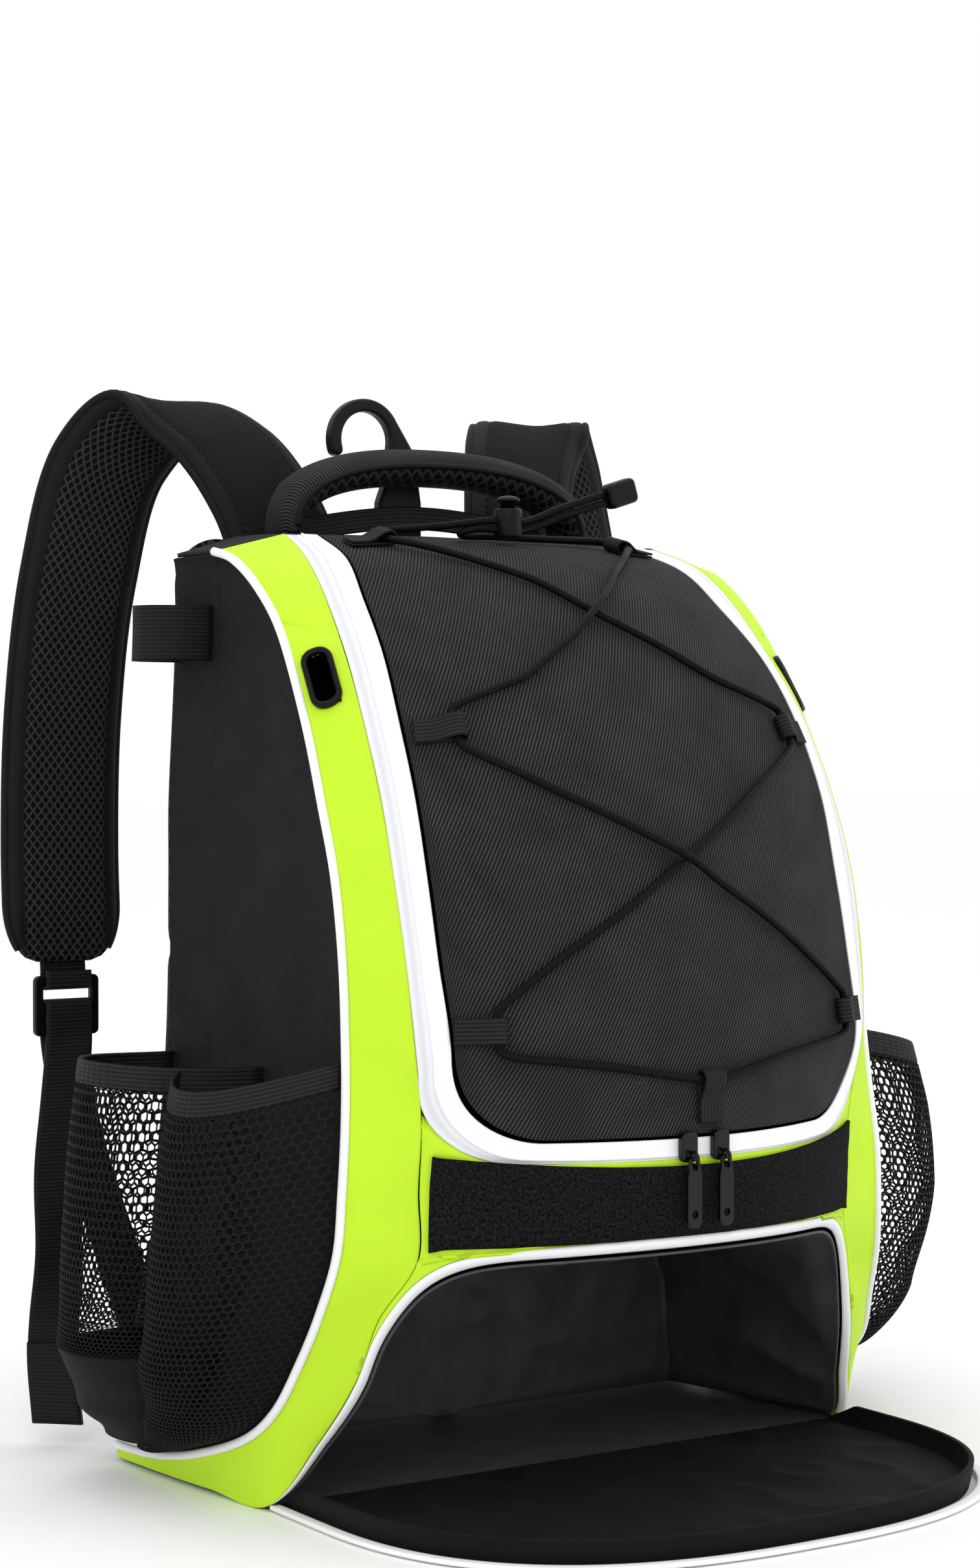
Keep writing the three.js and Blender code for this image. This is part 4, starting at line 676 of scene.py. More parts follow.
def makeLoopStrip():
    u, v = uvGrid(160, 26, toEnds)
    x = (2 * u - 1) * front["stripHalf"]
    turnUp = (x / front["stripHalf"]) ** 2
    high = front["stripTop"] + front["stripTopRise"] * turnUp
    low = front["stripBottom"] + front["stripBottomRise"] * turnUp
    edgeRound = 1.1 * (1 - np.abs(2 * v - 1) ** 8) * (1 - np.abs(2 * u - 1) ** 60)
    points = overBody(frontRow(high + (low - high) * v), x, front["stripLift"] + edgeRound)
    sheetPiece("loopStrip", puffed(points, 0.35, 9, 5), bag["heart"], front["stripWall"], cloth["fuzz"],
               stands=["hook_loop_strip"], slotName="webbing")


makeFrontPanel()
makeZip()
makeLowerBand()
makeLoopStrip()
print("front made")

# gussets with their eyelets, side panels and piping
gusset = {"seamAbove": 25, "eyeletOuter": (15.5, 33), "eyeletInner": (9.8, 26.6), "eyeletThickness": 3.4,
          "eyeletShift": 2, "eyeletRise": 0.4, "cut": (6.2, 14.6, 8), "eyeletZ": 385, "middleShare": 0.52,
          "pipeEdge": 2.15, "zipEdge": 0.25, "pinch": 1.1, "softness": 1.3}
sidePanel = {"firstRow": 0.02, "rear": 0.8, "seamY": 60, "seam": 0.8, "softness": 1.6}


def pipeToEdge(r, side, u):
    a, b = pipeRail(r), bandRail(r)
    wide = np.linalg.norm(b - a, axis=-1)
    start = np.minimum(gusset["pipeEdge"], wide * 0.7)
    end = np.minimum(gusset["zipEdge"], wide * 0.3)
    point = mixed(a, b, (start + u * (wide - start - end)) / wide)
    point[..., 0] *= side
    return point


def eyeletFrame(side):
    r = float(pipeRow(gusset["eyeletZ"]))
    share = gusset["middleShare"]
    down = unit(pipeToEdge(np.array(r + 0.3), side, share) - pipeToEdge(np.array(r - 0.3), side, share))
    toward = pipeToEdge(np.array(r), side, 1.0) - pipeToEdge(np.array(r), side, 0.0)
    normal = unit(np.cross(down, toward))
    if normal[1] > 0:
        normal = -normal
    across = unit(np.cross(-down, normal))
    matrix = Matrix([Vector(c) for c in (across, -down, normal)]).transposed().to_4x4()
    centre = pipeToEdge(np.array(r), side, share) + across * side * gusset["eyeletShift"]
    matrix.translation = Vector(centre) * mm
    return matrix


def makeGusset(name, side):
    u, v = uvGrid(30, 420)
    r = front["firstRow"] + (footRow - 0.14) * v
    points = pipeToEdge(r, side, u)
    seamRow = float(pipeRow(gusset["eyeletZ"] + gusset["seamAbove"]))
    pinch = gusset["pinch"] * bump(r, seamRow, 0.03) * (0.6 + 0.9 * (1 - u) ** 3)
    soft = ripple(points, 38, 11) * gusset["softness"] * edgeFade(u, v, 0.12)
    normals = surfaceNormals(points)
    if np.sum(normals[:, 15] * (points[:, 15] - np.array(bag["heart"]))) < 0:
        normals = -normals
    mesh = gridMesh(points + normals * (soft - pinch)[..., None], bag["heart"])
    eyelet = eyeletFrame(side)
    back = eyelet.inverted()
    holed = []
    for face in mesh.faces:  # the faces behind the eyelet are cut away
        spot = back @ face.calc_center_median() * 1000
        if all(abs(way) < limit for way, limit in zip(spot, gusset["cut"])):
            holed.append(face)
    bmesh.ops.delete(mesh, geom=holed, context="FACES")
    piece = addPiece("gusset" + name, meshData("gusset" + name, mesh), cloth["lime"],
                     stands=["gusset_" + name.lower()], slotName="lime_cloth")
    addWall(piece, front["wall"])
    ring = [roundBox(*gusset["eyeletOuter"], 7, count=9), roundBox(*gusset["eyeletInner"], 4, count=7)]
    raised = eyelet @ Matrix.Translation((0, 0, gusset["eyeletRise"] * mm))
    platePiece("eyelet" + name, ring, gusset["eyeletThickness"], 1.2, raised, cloth["plastic"],
               stands=["eyelet_" + name.lower()], slotName="plastic")


def makeSidePanel(name, side):
    u, v = uvGrid(70, 170)
    r = sidePanel["firstRow"] + (footRow - 1 - sidePanel["firstRow"]) * v
    edge = pipeRail(r)
    down = pipeRail(r + 0.05) - pipeRail(r - 0.05)
    down[..., 0] = 0
    down = unit(down)
    frontY = edge[..., 1] - down[..., 2] * gusset["pipeEdge"]
    frontZ = edge[..., 2] + down[..., 1] * gusset["pipeEdge"]
    rear = bag["backY"] - sidePanel["rear"]
    points = xyz(side * sideXAt(frontZ), rear + (frontY - rear) * u, frontZ)
    seamY = sidePanel["seamY"]
    seam = sidePanel["seam"] * bump(points[..., 1], seamY, 0.9) * (frontY < seamY - 10)
    soft = ripple(points, 45, 17) * sidePanel["softness"] * edgeFade(u, v, 0.1)
    points[..., 0] += side * (soft - seam)
    sheetPiece("sidePanel" + name, points, bag["heart"], front["wall"], cloth["side"],
               stands=["side_panel_" + name.lower()], slotName="side_cloth")


def sideXAt(z):
    return pipeRail(pipeRow(z))[..., 0]


def pipeYAt(z):
    return pipeRail(pipeRow(z))[..., 1]


for name, side in bothSides:
    makeGusset(name, side)
    makeSidePanel(name, side)
    rows = np.linspace(0.1, footRow - 0.1, 240)
    tubePiece("piping" + name, pipeRail(rows) * np.array([side, 1, 1]), bag["pipingRadius"], cloth["piping"],
              around=14, stands=["piping_" + name.lower()], slotName="white_tape")
print("sides made")

# back pad, top and bottom
backPad = {"bottom": 4, "topInset": 2, "corner": 26, "lowCorner": 26, "channel": 3.2, "channelWidth": 5,
           "channelX": 34, "channelsZ": (250, 110), "quietTop": 395, "quietBottom": 62, "thickness": 11.7,
           "rim": 0.4, "roundOver": 9, "widestZ": 440}
topPanel = {"row": 0.02, "crown": 3, "rear": 0.6}
basePanel = {"rear": 1, "inset": 3.4}


def makeBackPad():
    u, v = uvGrid(130, 190, toEnds, toEnds)
    bottom, top = backPad["bottom"], bag["height"] - backPad["topInset"]
    z = bottom + (top - bottom) * v
    over = np.maximum(z - (top - backPad["corner"]), 0)
    inset = backPad["corner"] - np.sqrt(backPad["corner"] ** 2 - over**2)
    under = np.maximum(bottom + backPad["lowCorner"] - z, 0)
    lowInset = backPad["lowCorner"] - np.sqrt(backPad["lowCorner"] ** 2 - under**2)
    half = sideXAt(np.minimum(z, backPad["widestZ"])) - inset * 0.9 - lowInset - 1
    x = (2 * u - 1) * half
    edge = np.minimum((1 - np.abs(2 * u - 1)) * half, np.minimum(z - bottom, top - z))
    crown = 1 - (1 - np.clip(edge / backPad["roundOver"], 0, 1)) ** 3
    quiet = smoothStep((backPad["quietTop"] - z) / 20) * smoothStep((z - backPad["quietBottom"]) / 20)
    wide, channelX = backPad["channelWidth"], backPad["channelX"]
    level = np.maximum(*(bump(z, height, wide) for height in backPad["channelsZ"]))
    channels = np.maximum(bump(np.abs(x), channelX, wide), level * (np.abs(x) > channelX))
    rim, full = backPad["rim"], backPad["thickness"]
    thick = rim + (full - rim) * crown - backPad["channel"] * channels * quiet
    y = bag["backY"] + front["seamGap"]
    soft = ripple(xyz(x, y, z), 60, 23) * 0.6 * quiet
    padPiece("backPad", xyz(x, y + thick + soft, z), xyz(x, y, z), (0, 110, 230), cloth["backMesh"], 0.7,
             stands=["back_panel"], slotName="side_cloth")


def makeTopPanel():
    u, v = uvGrid(110, 34)
    half = pipeRail(0.0)[0] - bag["pipingRoom"]
    x = (2 * u - 1) * half
    edge = body(topPanel["row"], x)
    y = edge[..., 1] + (bag["backY"] - topPanel["rear"] - edge[..., 1]) * v
    crown = topPanel["crown"] * np.sin(np.pi * v / 2) * np.cos(np.pi * x / 2 / half)
    points = puffed(xyz(x, y, edge[..., 2] + crown), 0.8, 40, 29, edgeFade(u, v, 0.15))
    sheetPiece("topPanel", points, (0, 60, 0), front["wall"], cloth["front"],
               stands=["top_panel"], slotName="front_cloth")


def makeBasePanel():
    u, v = uvGrid(60, 60)
    edge = bandRail(np.linspace(archRow, footRow, 300))
    y = edge[0, 1] + (bag["backY"] - basePanel["rear"] - edge[0, 1]) * v
    half = np.interp(y, edge[:, 1], edge[:, 0]) - basePanel["inset"]
    sheetPiece("basePanel", xyz((2 * u - 1) * half, y, 0), bag["heart"], front["wall"], cloth["lining"],
               stands=["bottom_panel"], slotName="lining")


makeBackPad()
makeTopPanel()
makeBasePanel()
print("back, top and base made")

# shoe compartment: arch tape, lining and the open flap
compartment = {
    "backY": 88, "height": 112, "halfWidth": 148, "sag": 5, "lining": 1.2, "legShare": 0.45, "cornerSpot": 0.225,
    "cornerSpread": 0.09, "backShare": 0.75, "squareness": 0.55, "floor": 3.2, "crease": 4.2, "fold": 9,
    "flapHalf": 162, "flapReach": 182, "flapStraight": 44, "flapWall": 2.6, "flapRim": 12, "flapTape": 5,
    "flapEdge": 0.7,
}


def archEdge(a):
    side = np.where(a < 0.5, -1.0, 1.0)
    q = 1 - np.abs(2 * a - 1)
    legShare = compartment["legShare"]
    r = archRow - 0.05 - (archRow - 0.05 - lastRow) * np.clip(q / legShare, 0, 1)
    leg = bandRail(r)
    leg[..., 0] *= side
    x = side * bandHalf * (1 - np.clip((q - legShare) / (1 - legShare), 0, 1))
    top = body(frontRow(archHeight(x)), x)
    return np.where((q <= legShare)[..., None], leg, top)


def softArch():
    # the sewn edge with its upper corners rounded, as a table along the arch
    a = np.linspace(0, 1, 1601)
    edge = archEdge(a)
    reach = 150
    weights = np.exp(-np.linspace(-2.4, 2.4, 2 * reach + 1) ** 2 / 2)
    weights /= weights.sum()
    padded = np.vstack([2 * edge[0] - edge[reach:0:-1], edge, 2 * edge[-1] - edge[-2:-reach - 2:-1]])
    soft = np.stack([np.convolve(padded[:, k], weights, "valid") for k in range(3)], axis=1)
    cornerAway = np.minimum(np.abs(a - compartment["cornerSpot"]), np.abs(a - 1 + compartment["cornerSpot"]))
    near = np.exp(-((cornerAway / compartment["cornerSpread"]) ** 4))[:, None]
    return a, edge + (soft - edge) * near


archSpots, archLine = softArch()


def roundArch(a):
    return np.stack([np.interp(a, archSpots, archLine[:, k]) for k in range(3)], axis=-1)


def insideArch(a, distance):
    point = roundArch(a)
    inward = unit(xyz(-0.45 * point[..., 0], 8, 35 - point[..., 2]))
    return point + inward * np.asarray(distance, float)[..., None]


def makeArch():
    for name, low, high in (("Left", 0.12, 0.33), ("Right", 0.67, 0.88)):
        u, v = uvGrid(80, 14)
        a = low + (high - low) * u
        corner = mixed(archEdge(a), roundArch(a), v)
        sheetPiece("archCorner" + name, corner, (0, 40, 60), front["wall"], cloth["lime"], slotName="lime_cloth")
    u, v = uvGrid(300, 8)
    points = insideArch(u, 0.2 + (bag["archSeam"] + bag["archTape"] - 0.2) * v)
    lift = unit(xyz(0.25 * points[..., 0] / 150, -1, 0.1)) * (1.3 * (1 - (2 * v - 1) ** 2))[..., None]
    sheetPiece("archTape", points + lift, bag["heart"], front["wall"], cloth["tape"],
               stands=["arch_zipper"], slotName="white_tape")


def tunnelPoint(a, s):
    start = insideArch(a, bag["archSeam"] + bag["archTape"] + 0.6 + compartment["lining"])
    floor, wallShare = compartment["floor"], compartment["backShare"]
    start[..., 2] = np.maximum(start[..., 2], floor)
    angle = np.pi * (1 - a)
    bow = np.abs(np.sin(angle)) ** compartment["squareness"]
    spread = np.sign(np.cos(angle)) * np.abs(np.cos(angle)) ** compartment["squareness"]
    end = xyz(compartment["halfWidth"] * spread, compartment["backY"], floor + compartment["height"] * bow)
    share = np.clip(s / wallShare, 0, 1)
    reach = mixed(start, end, share)
    reach[..., 2] -= compartment["sag"] * np.sin(np.pi * share) * bow
    closing = 1 - np.clip((s - wallShare) / (1 - wallShare), 0, 1) * 0.992
    closed = xyz(end[..., 0] * closing, compartment["backY"], floor + (end[..., 2] - floor) * closing)
    return np.where((s <= wallShare)[..., None], reach, closed)


def makeTunnel():
    u, v = uvGrid(190, 120)
    points = tunnelPoint(u, v)
    toHeart = unit(np.array([0, 10, 30]) - points)
    creases = (1 - np.abs(ripple(points * (1, 0.45, 1), 27, 31))) ** 3 * compartment["crease"]
    folds = np.maximum(ripple(points * (1, 0.6, 1), 48, 37), -0.2) * compartment["fold"]
    fade = smoothStep(v / 0.06) * smoothStep(np.minimum(u, 1 - u) / 0.05) * smoothStep((0.97 - v) / 0.12)
    points = points + toHeart * ((creases + folds) * fade)[..., None]
    points[..., 2] = np.maximum(points[..., 2], compartment["floor"]) - 3 * smoothStep((v - 0.985) / 0.015)
    sheetPiece("shoeLining", points, (0, 10, 30), compartment["lining"], cloth["lining"],
               stands=["shoe_tunnel"], slotName="lining")


flapStart = bandRail(archRow)[1] - 0.6


def flapOutline(p, grow):
    half = compartment["flapHalf"] + grow
    round_ = compartment["flapReach"] - compartment["flapStraight"] + grow
    q = np.abs(2 * p - 1)
    side = np.where(p < 0.5, -1.0, 1.0)
    angle = np.clip(q / 0.7, 0, 1) * math.pi / 2
    x = half * np.sin(angle) ** 0.8
    y = flapStart - compartment["flapStraight"] - round_ * np.cos(angle).clip(0) ** 0.8
    straight = q > 0.7
    x = np.where(straight, half, x)
    y = np.where(straight, flapStart - compartment["flapStraight"] * (1 - q) / 0.3, y)
    return xyz(side * x, y, 0)


def makeFlap():
    # the upright rim takes the last two fifths of the rows
    edge = compartment["flapEdge"]
    u, v = uvGrid(260, 90, None, lambda s: np.interp(s, (0, 0.6, 1), (0, edge, 1)))
    rim = flapOutline(u, 0 * v)
    onFloor = mixed(np.array([0, flapStart, 0]), rim, 0.02 + 0.98 * np.clip(v / edge, 0, 1))
    onFloor[..., 1] = np.minimum(onFloor[..., 1], flapStart)
    ends = np.minimum((1 - np.abs(2 * u - 1)) / 0.14, 1)
    part = np.clip((v - edge) / (1 - edge), 0, 1)
    onRim = flapOutline(u, 2.2 * np.sin(1.4 * part))
    onRim[..., 2] = compartment["flapRim"] * part * (0.2 + 0.8 * ends)
    points = np.where((v <= edge)[..., None], onFloor, onRim)
    folds = (1 - np.abs(ripple(points, 42, 41))) ** 4 * 2.2 + np.maximum(ripple(points, 70, 43), 0) * 2.5
    fade = smoothStep((edge - v) / 0.08) * smoothStep((flapStart - points[..., 1]) / 12)
    points[..., 2] += folds * fade
    sheetPiece("shoeFlap", points, (0, -90, 400), compartment["flapWall"], cloth["flap"],
               stands=["shoe_flap"], slotName="lining")
    u, v = uvGrid(300, 4)
    tape = flapOutline(u, 3.4 + compartment["flapTape"] * v)
    tape[..., 2] = 2.4
    sheetPiece("flapTape", tape, (0, -90, -400), 2.0, cloth["tape"],
               stands=["flap_zipper"], slotName="white_tape")


makeArch()
makeTunnel()
makeFlap()
print("shoe compartment made")

# carry handle
handle = {"halfSpan": 88, "rise": 37, "width": 30, "thickness": 19, "bandRise": 9, "bandHeight": 12}


def handleLine(u, lift):
    angle = np.pi * u
    x = -handle["halfSpan"] * np.sign(np.cos(angle)) * np.abs(np.cos(angle)) ** 0.85
    z = bag["height"] + 1.8 + handle["rise"] * np.sin(angle).clip(0) ** 0.8 + lift
    return xyz(x, bag["backY"] - 4, z)


def makeHandle():
    half = handle["thickness"] / 2
    u, v = uvGrid(140, 28)
    line = handleLine(u, 0)
    ahead, behind = handleLine(np.clip(u + 0.004, 0, 1), 0), handleLine(np.clip(u - 0.004, 0, 1), 0)
    up = unit(np.cross(unit(ahead - behind), np.array([0.0, 1.0, 0.0])))
    up = np.where(up[..., 2:3] < 0, -up, up)
    line[..., 1] += (v - 0.5) * handle["width"]
    along = np.minimum(np.sin(np.pi * u) * 2.2, 1)
    over = np.sqrt(np.maximum(1 - (2 * v - 1) ** 2, 0))
    thick = half * (0.12 + 0.88 * over * (0.35 + 0.65 * along))[..., None]
    padPiece("handleTop", line + up * (0.2 + thick), line + up * 0.2, (0, 101, 470), cloth["front"], 0.9,
             stands=["top_handle"], slotName="front_cloth")
    padPiece("handleUnderside", line - up * 0.2, line - up * (0.2 + thick), (0, 101, 480),
             cloth["handleMesh"], 0.9, stands=["handle_underside"], slotName="spacer_mesh")
    for edge, label in ((0, "Front"), (-1, "Back")):
        path = line[edge] + (0, 0, 0.2)
        tubePiece("handleBinding" + label, path[2:-2], 1.7, cloth["binding"], around=10, slotName="webbing")
    span = handle["halfSpan"] - half - 4
    u, v = uvGrid(120, 8)
    z = bag["height"] - 1.7 + handle["bandRise"] * np.sin(np.pi * u) + handle["bandHeight"] * v
    band = xyz((2 * u - 1) * span, bag["backY"] + bag["padding"] / 2 - 1, z)
    sheetPiece("handleBand", band, (0, 100, 400), front["wall"], cloth["hem"],
               stands=["handle_band"], slotName="webbing")


makeHandle()

# fence hook and the webbing tab that holds it
hook = {"rod": 3.4, "radius": 18.2, "ringShift": 21, "tipTurn": 198, "thickness": 7.5, "x": -7, "centreZ": 511,
        "footZ": 422, "plateHalf": 13, "plateTop": 22, "tabHalf": 29, "tabWall": 1.5, "tabHeight": 26}


def makeHook():
    inner, outer = hook["radius"] - hook["rod"], hook["radius"] + hook["rod"]
    x, wide, foot = hook["x"], hook["plateHalf"], hook["footZ"]
    centre = (x - hook["ringShift"], hook["centreZ"])
    end = hook["tipTurn"]
    top = bag["height"] + hook["plateTop"]
    tip = roundArc(centre, hook["radius"], end, end, 1)[0]
    outline = [(x + wide, foot), (x + wide, top), (x + wide - 4, centre[1] - 6)]
    outline += roundArc(centre, outer, math.degrees(0.5), end, 30)
    outline += roundArc(tip, hook["rod"], end, end + 180, 9)[1:-1]
    outline += roundArc(centre, inner, end, math.degrees(-0.2), 30)
    outline += [(x - wide + 6, centre[1] - 16), (x - wide, top), (x - wide, foot)]
    y = bag["backY"] + bag["padding"] + 0.4 + hook["thickness"] / 2
    platePiece("fenceHook", [outline], hook["thickness"], 1.9, facing((0, y, 0)), cloth["hookPlastic"],
               stands=["fence_hook"], slotName="plastic")
    u, v = uvGrid(90, 12)
    away = (2 * u - 1) * hook["tabHalf"]
    over = np.clip((hook["tabHalf"] - np.abs(away)) / 12, 0, 1)
    rise = (hook["thickness"] + 0.5) * (0.5 - 0.5 * np.cos(np.pi * over))
    tab = xyz(x + away, bag["backY"] + bag["padding"] + 1.8 + rise, foot + 2 + hook["tabHeight"] * v)
    sheetPiece("hookTab", tab, (0, 0, 440), hook["tabWall"], cloth["webbing"],
               stands=["hook_tab"], slotName="webbing")
    for row, label in ((2, "Low"), (-3, "High")):
        stitchRow("tabStitch" + label, tab[row] + (0, 0.3, 0), pitch=3, length=2)


makeHook()
print("handle and hook made")

# shoulder straps, ladder locks and webbing of the right side; the left side is its mirror image
harness = {
    "path": [(70, 119.9, 432), (78, 134, 474), (95, 156, 510), (117, 178, 524), (140, 191, 500), (157, 194, 440),
             (166, 194, 370), (170, 190, 300), (171, 184, 240)],
    "up": [(150, 118.1, 34), (158, 138, 80), (168, 170, 150)],
    "down": [(181, 166, 150), (190, 155, 80), (191, 151, 9)],
    "width": 62, "thickness": 14, "binding": 8.2, "webbing": 25, "webbingWall": 1.5, "foldWall": 4.2,
    "lockY": 181.4, "lockZ": 217.5, "lockWidth": 36, "lockHeight": 31, "lockThickness": 4, "lockBar": 5,
    "lockMiddle": -1.5, "foldRoom": 0.8, "tailTurn": 0.5, "tailWave": 3.5, "stitchColumns": (4, 26),
}


webbingX = harness["path"][-1][0]
webbingGap = harness["foldRoom"] + harness["webbingWall"] / 2
webbingRoom = harness["lockThickness"] / 2 + webbingGap


def mirroredPath(points, side):
    return [(side * x, y, z) for x, y, z in points]


def roundBar(barZ, turn):  # the webbing's way round one bar of the lock
    over = harness["lockBar"] / 2 + webbingGap
    rear = [(webbingRoom, -5), (webbingRoom, over * 0.5), (webbingRoom * 0.6, over * 0.95)]
    steps = rear + [(0, over)] + [(-dy, dz) for dy, dz in reversed(rear)]
    return [(webbingX, harness["lockY"] + dy, barZ + turn * dz) for dy, dz in steps]


def ribbonPoints(path, width, across):
    v = np.linspace(-0.5, 0.5, 11)
    return path[:, None, :] + across[:, None, :] * (v * width)[None, :, None]


def bindEdges(piece):
    # the cloth band sewn round both long edges of a pad
    inside = harness["width"] / 2 - harness["binding"]
    data = piece.data
    data.materials.append(cloth["binding"])
    uv = data.uv_layers["cloth"].data
    for polygon in data.polygons:
        across = sum(abs(uv[k].uv.x) for k in polygon.loop_indices) / polygon.loop_total
        if across > inside:
            polygon.material_index = 1


def makeStrap(name, side):
    path = evenPath(smoothPath(mirroredPath(harness["path"], side), 30), 190)
    tangent = unit(np.gradient(path, axis=0))
    across = unit(np.array([1.0, 0, 0]) - 0.7 * tangent[:, :1] * tangent)
    u = np.linspace(0, 1, len(path))
    tip = np.minimum((1 - u) / 0.07, 1)
    narrow = harness["webbing"] + 4
    wide = narrow + (harness["width"] - narrow) * np.sqrt(1 - (1 - tip) ** 2)
    v = np.linspace(0, 1, 31)
    grid = path[:, None, :] + across[:, None, :] * ((v[None, :] - 0.5) * wide[:, None])[..., None]
    normals = -unit(np.cross(tangent, across))[:, None, :]
    over = (1 - np.abs(2 * v - 1) ** 3) ** 0.5
    ends = np.minimum(np.sin(np.pi * np.clip(u, 0.002, 0.998)) * 5, 1)
    half = harness["thickness"] / 2
    thick = half * (0.2 + 0.8 * over[None, :] * ends[:, None])
    seam = 0.8 * (bump(v, 0.13, 0.018) + bump(v, 0.87, 0.018))[None, :] * ends[:, None]
    gather = 0.7 * np.sin(v * 40)[None, :] * (smoothStep((u - 0.93) / 0.05))[:, None]
    soft = ripple(grid, 34, 51) * 0.5
    inner = (thick + 0.2 - seam + gather * 0.6)[..., None]
    outer = inner + (soft * ends[:, None])[..., None]
    heart = tuple(path[95])
    pad = padPiece("strapPad" + name, grid + normals * outer, grid + normals * 0.2, heart, cloth["pad"], 0.8,
                   stands=["shoulder_strap_" + name.lower()], slotName="pad_cloth")
    under = padPiece("strapMesh" + name, grid - normals * 0.2, grid - normals * inner, heart, cloth["mesh"], 0.8,
                     stands=["strap_mesh_" + name.lower()], slotName="spacer_mesh")
    bindEdges(under)
    bindEdges(pad)
    for edge, label in ((0, "In"), (-1, "Out")):
        tubePiece("strapBinding" + label + name, grid[:, edge][2:-3], 2.3, cloth["binding"], around=12,
                  slotName="webbing")
    for column, label in zip(harness["stitchColumns"], ("In", "Out")):
        seamLine = (grid + normals * (outer + 0.25))[6:-8, column]
        stitchRow("strapStitch" + label + name, seamLine, pitch=4.2, length=2.7)
    lockTop = harness["lockZ"] + harness["lockHeight"] / 2
    tongue = [(webbingX, harness["path"][-1][1] + 2.2, harness["path"][-1][2] + 5)]
    tongue += roundBar(lockTop - harness["lockBar"] / 2, -1)
    tonguePath = smoothPath(mirroredPath(tongue, side), 8)
    acrossX = np.tile([1.0, 0, 0], (len(tonguePath), 1))
    sheetPiece("strapTongue" + name, ribbonPoints(tonguePath, harness["webbing"], acrossX), (side * 171, 184, 236),
               harness["webbingWall"], cloth["webbing"], 0, slotName="webbing")
    makeLock(name, side)
    makeWebbing(name, side)


def makeLock(name, side):
    halfTall, bar = harness["lockHeight"] / 2, harness["lockBar"]
    slotWide = harness["webbing"] + 1.6
    outlines = [roundBox(harness["lockWidth"], harness["lockHeight"], 3)]
    middleTop, middleBottom = harness["lockMiddle"] + bar / 2, harness["lockMiddle"] - bar / 2
    for low, high in ((-halfTall + bar, middleBottom), (middleTop, halfTall - bar)):
        outlines.append(roundBox(slotWide, high - low, 1, (0, (low + high) / 2), 4))
    platePiece("ladderLock" + name, outlines, harness["lockThickness"], 0.9,
               facing((side * webbingX, harness["lockY"], harness["lockZ"])), cloth["plastic"],
               stands=["ladder_lock_" + name.lower()], slotName="plastic")


def makeWebbing(name, side):
    y, lowZ = harness["lockY"], harness["lockZ"] - harness["lockHeight"] / 2 - 2
    turn = roundBar(harness["lockZ"] + harness["lockMiddle"], 1)
    turn = [(webbingX, y + webbingRoom, lowZ)] + turn + [(webbingX, y - webbingRoom, lowZ)]
    points = harness["up"] + turn + harness["down"]
    path = smoothPath(mirroredPath(points, side), 14)
    share = np.linspace(0, 1, len(path))
    loose = smoothStep((share - 0.82) / 0.1)
    path[:, 1] += harness["tailWave"] * loose * np.sin(share * 60)
    angle = side * (harness["tailTurn"] * np.maximum(0, share - 0.75) * 4 + 0.3 * loose * np.sin(share * 40))
    across = np.stack([np.cos(angle), np.sin(angle), 0 * angle], axis=1)
    sheetPiece("strapWebbing" + name, ribbonPoints(path, harness["webbing"], across), (0, 150, 150),
               harness["webbingWall"], cloth["webbing"], 0,
               stands=["strap_webbing_" + name.lower()], slotName="webbing")
    fold = ribbonPoints(path[-9:], harness["webbing"] + 0.6, across[-9:])
    sheetPiece("tailFold" + name, fold, (0, 150, 150), harness["foldWall"], cloth["webbing"], 0,
               slotName="webbing")


for name, side in bothSides:
    makeStrap(name, side)
print("harness made")

# side pockets of hexagonal net, and the bands over them
pockets = {"top": 204, "rearY": 97, "split": 0.45, "hem": 12, "hemWall": 2.2, "baseTop": 66, "baseBottom": 14,
           "ballBottom": 15, "ballStart": 0.85, "reach": 71, "wallGap": 0.6, "crowding": 1.5, "middleY": 52,
           "cellWide": 4.1, "strand": 0.42, "strandWall": 0.9, "strapZ": 406, "strapHeight": 27, "strapReach": 33,
           "strapFront": 66, "strapRear": 101, "strapWall": 1.5}
pocketRows = {"height": (1.0, 0.8, 0.6, 0.33, 0.18, 0.08, 0.066), "bat": (0.97, 1.0, 1.0, 0.87, 0.58, 0.17, 0.04),
              "ball": (0.86, 0.97, 1.0, 0.8, 0.48, 0.14, 0.03)}


def pocketBulge(z, kind):
    heights, reach = np.array(pocketRows["height"]), np.array(pocketRows[kind])
    share = np.asarray(z, float) / pockets["top"]
    k = np.clip(np.searchsorted(-heights, -share, side="left") - 1, 0, len(heights) - 2)
    part = np.clip((heights[k] - share) / (heights[k] - heights[k + 1]), 0, 1)
    smooth = (smoothStep(part) + part) / 2
    return pockets["reach"] * (reach[k] + (reach[k + 1] - reach[k]) * smooth)


def pipeInset(z):
    r = pipeRow(z)
    down = pipeRail(r + 0.1) - pipeRail(r - 0.1)
    down[..., 0] = 0
    down = unit(down)
    return (bag["pipingRoom"] + 0.3) / np.maximum(-down[..., 2], 0.15)


def batCurve(z, u, side, grow=0.0):
    frontY = pipeYAt(z) + pockets["split"] * (pockets["rearY"] - pipeYAt(z))
    middle, half = (pockets["rearY"] + frontY) / 2, (pockets["rearY"] - frontY) / 2
    angle = np.pi * np.asarray(u)
    bulge = (pocketBulge(z, "bat") + grow) * np.sin(angle).clip(0) ** 0.62
    return xyz(side * (sideXAt(z) + pockets["wallGap"] + bulge), middle + (half + grow) * np.cos(angle), z)


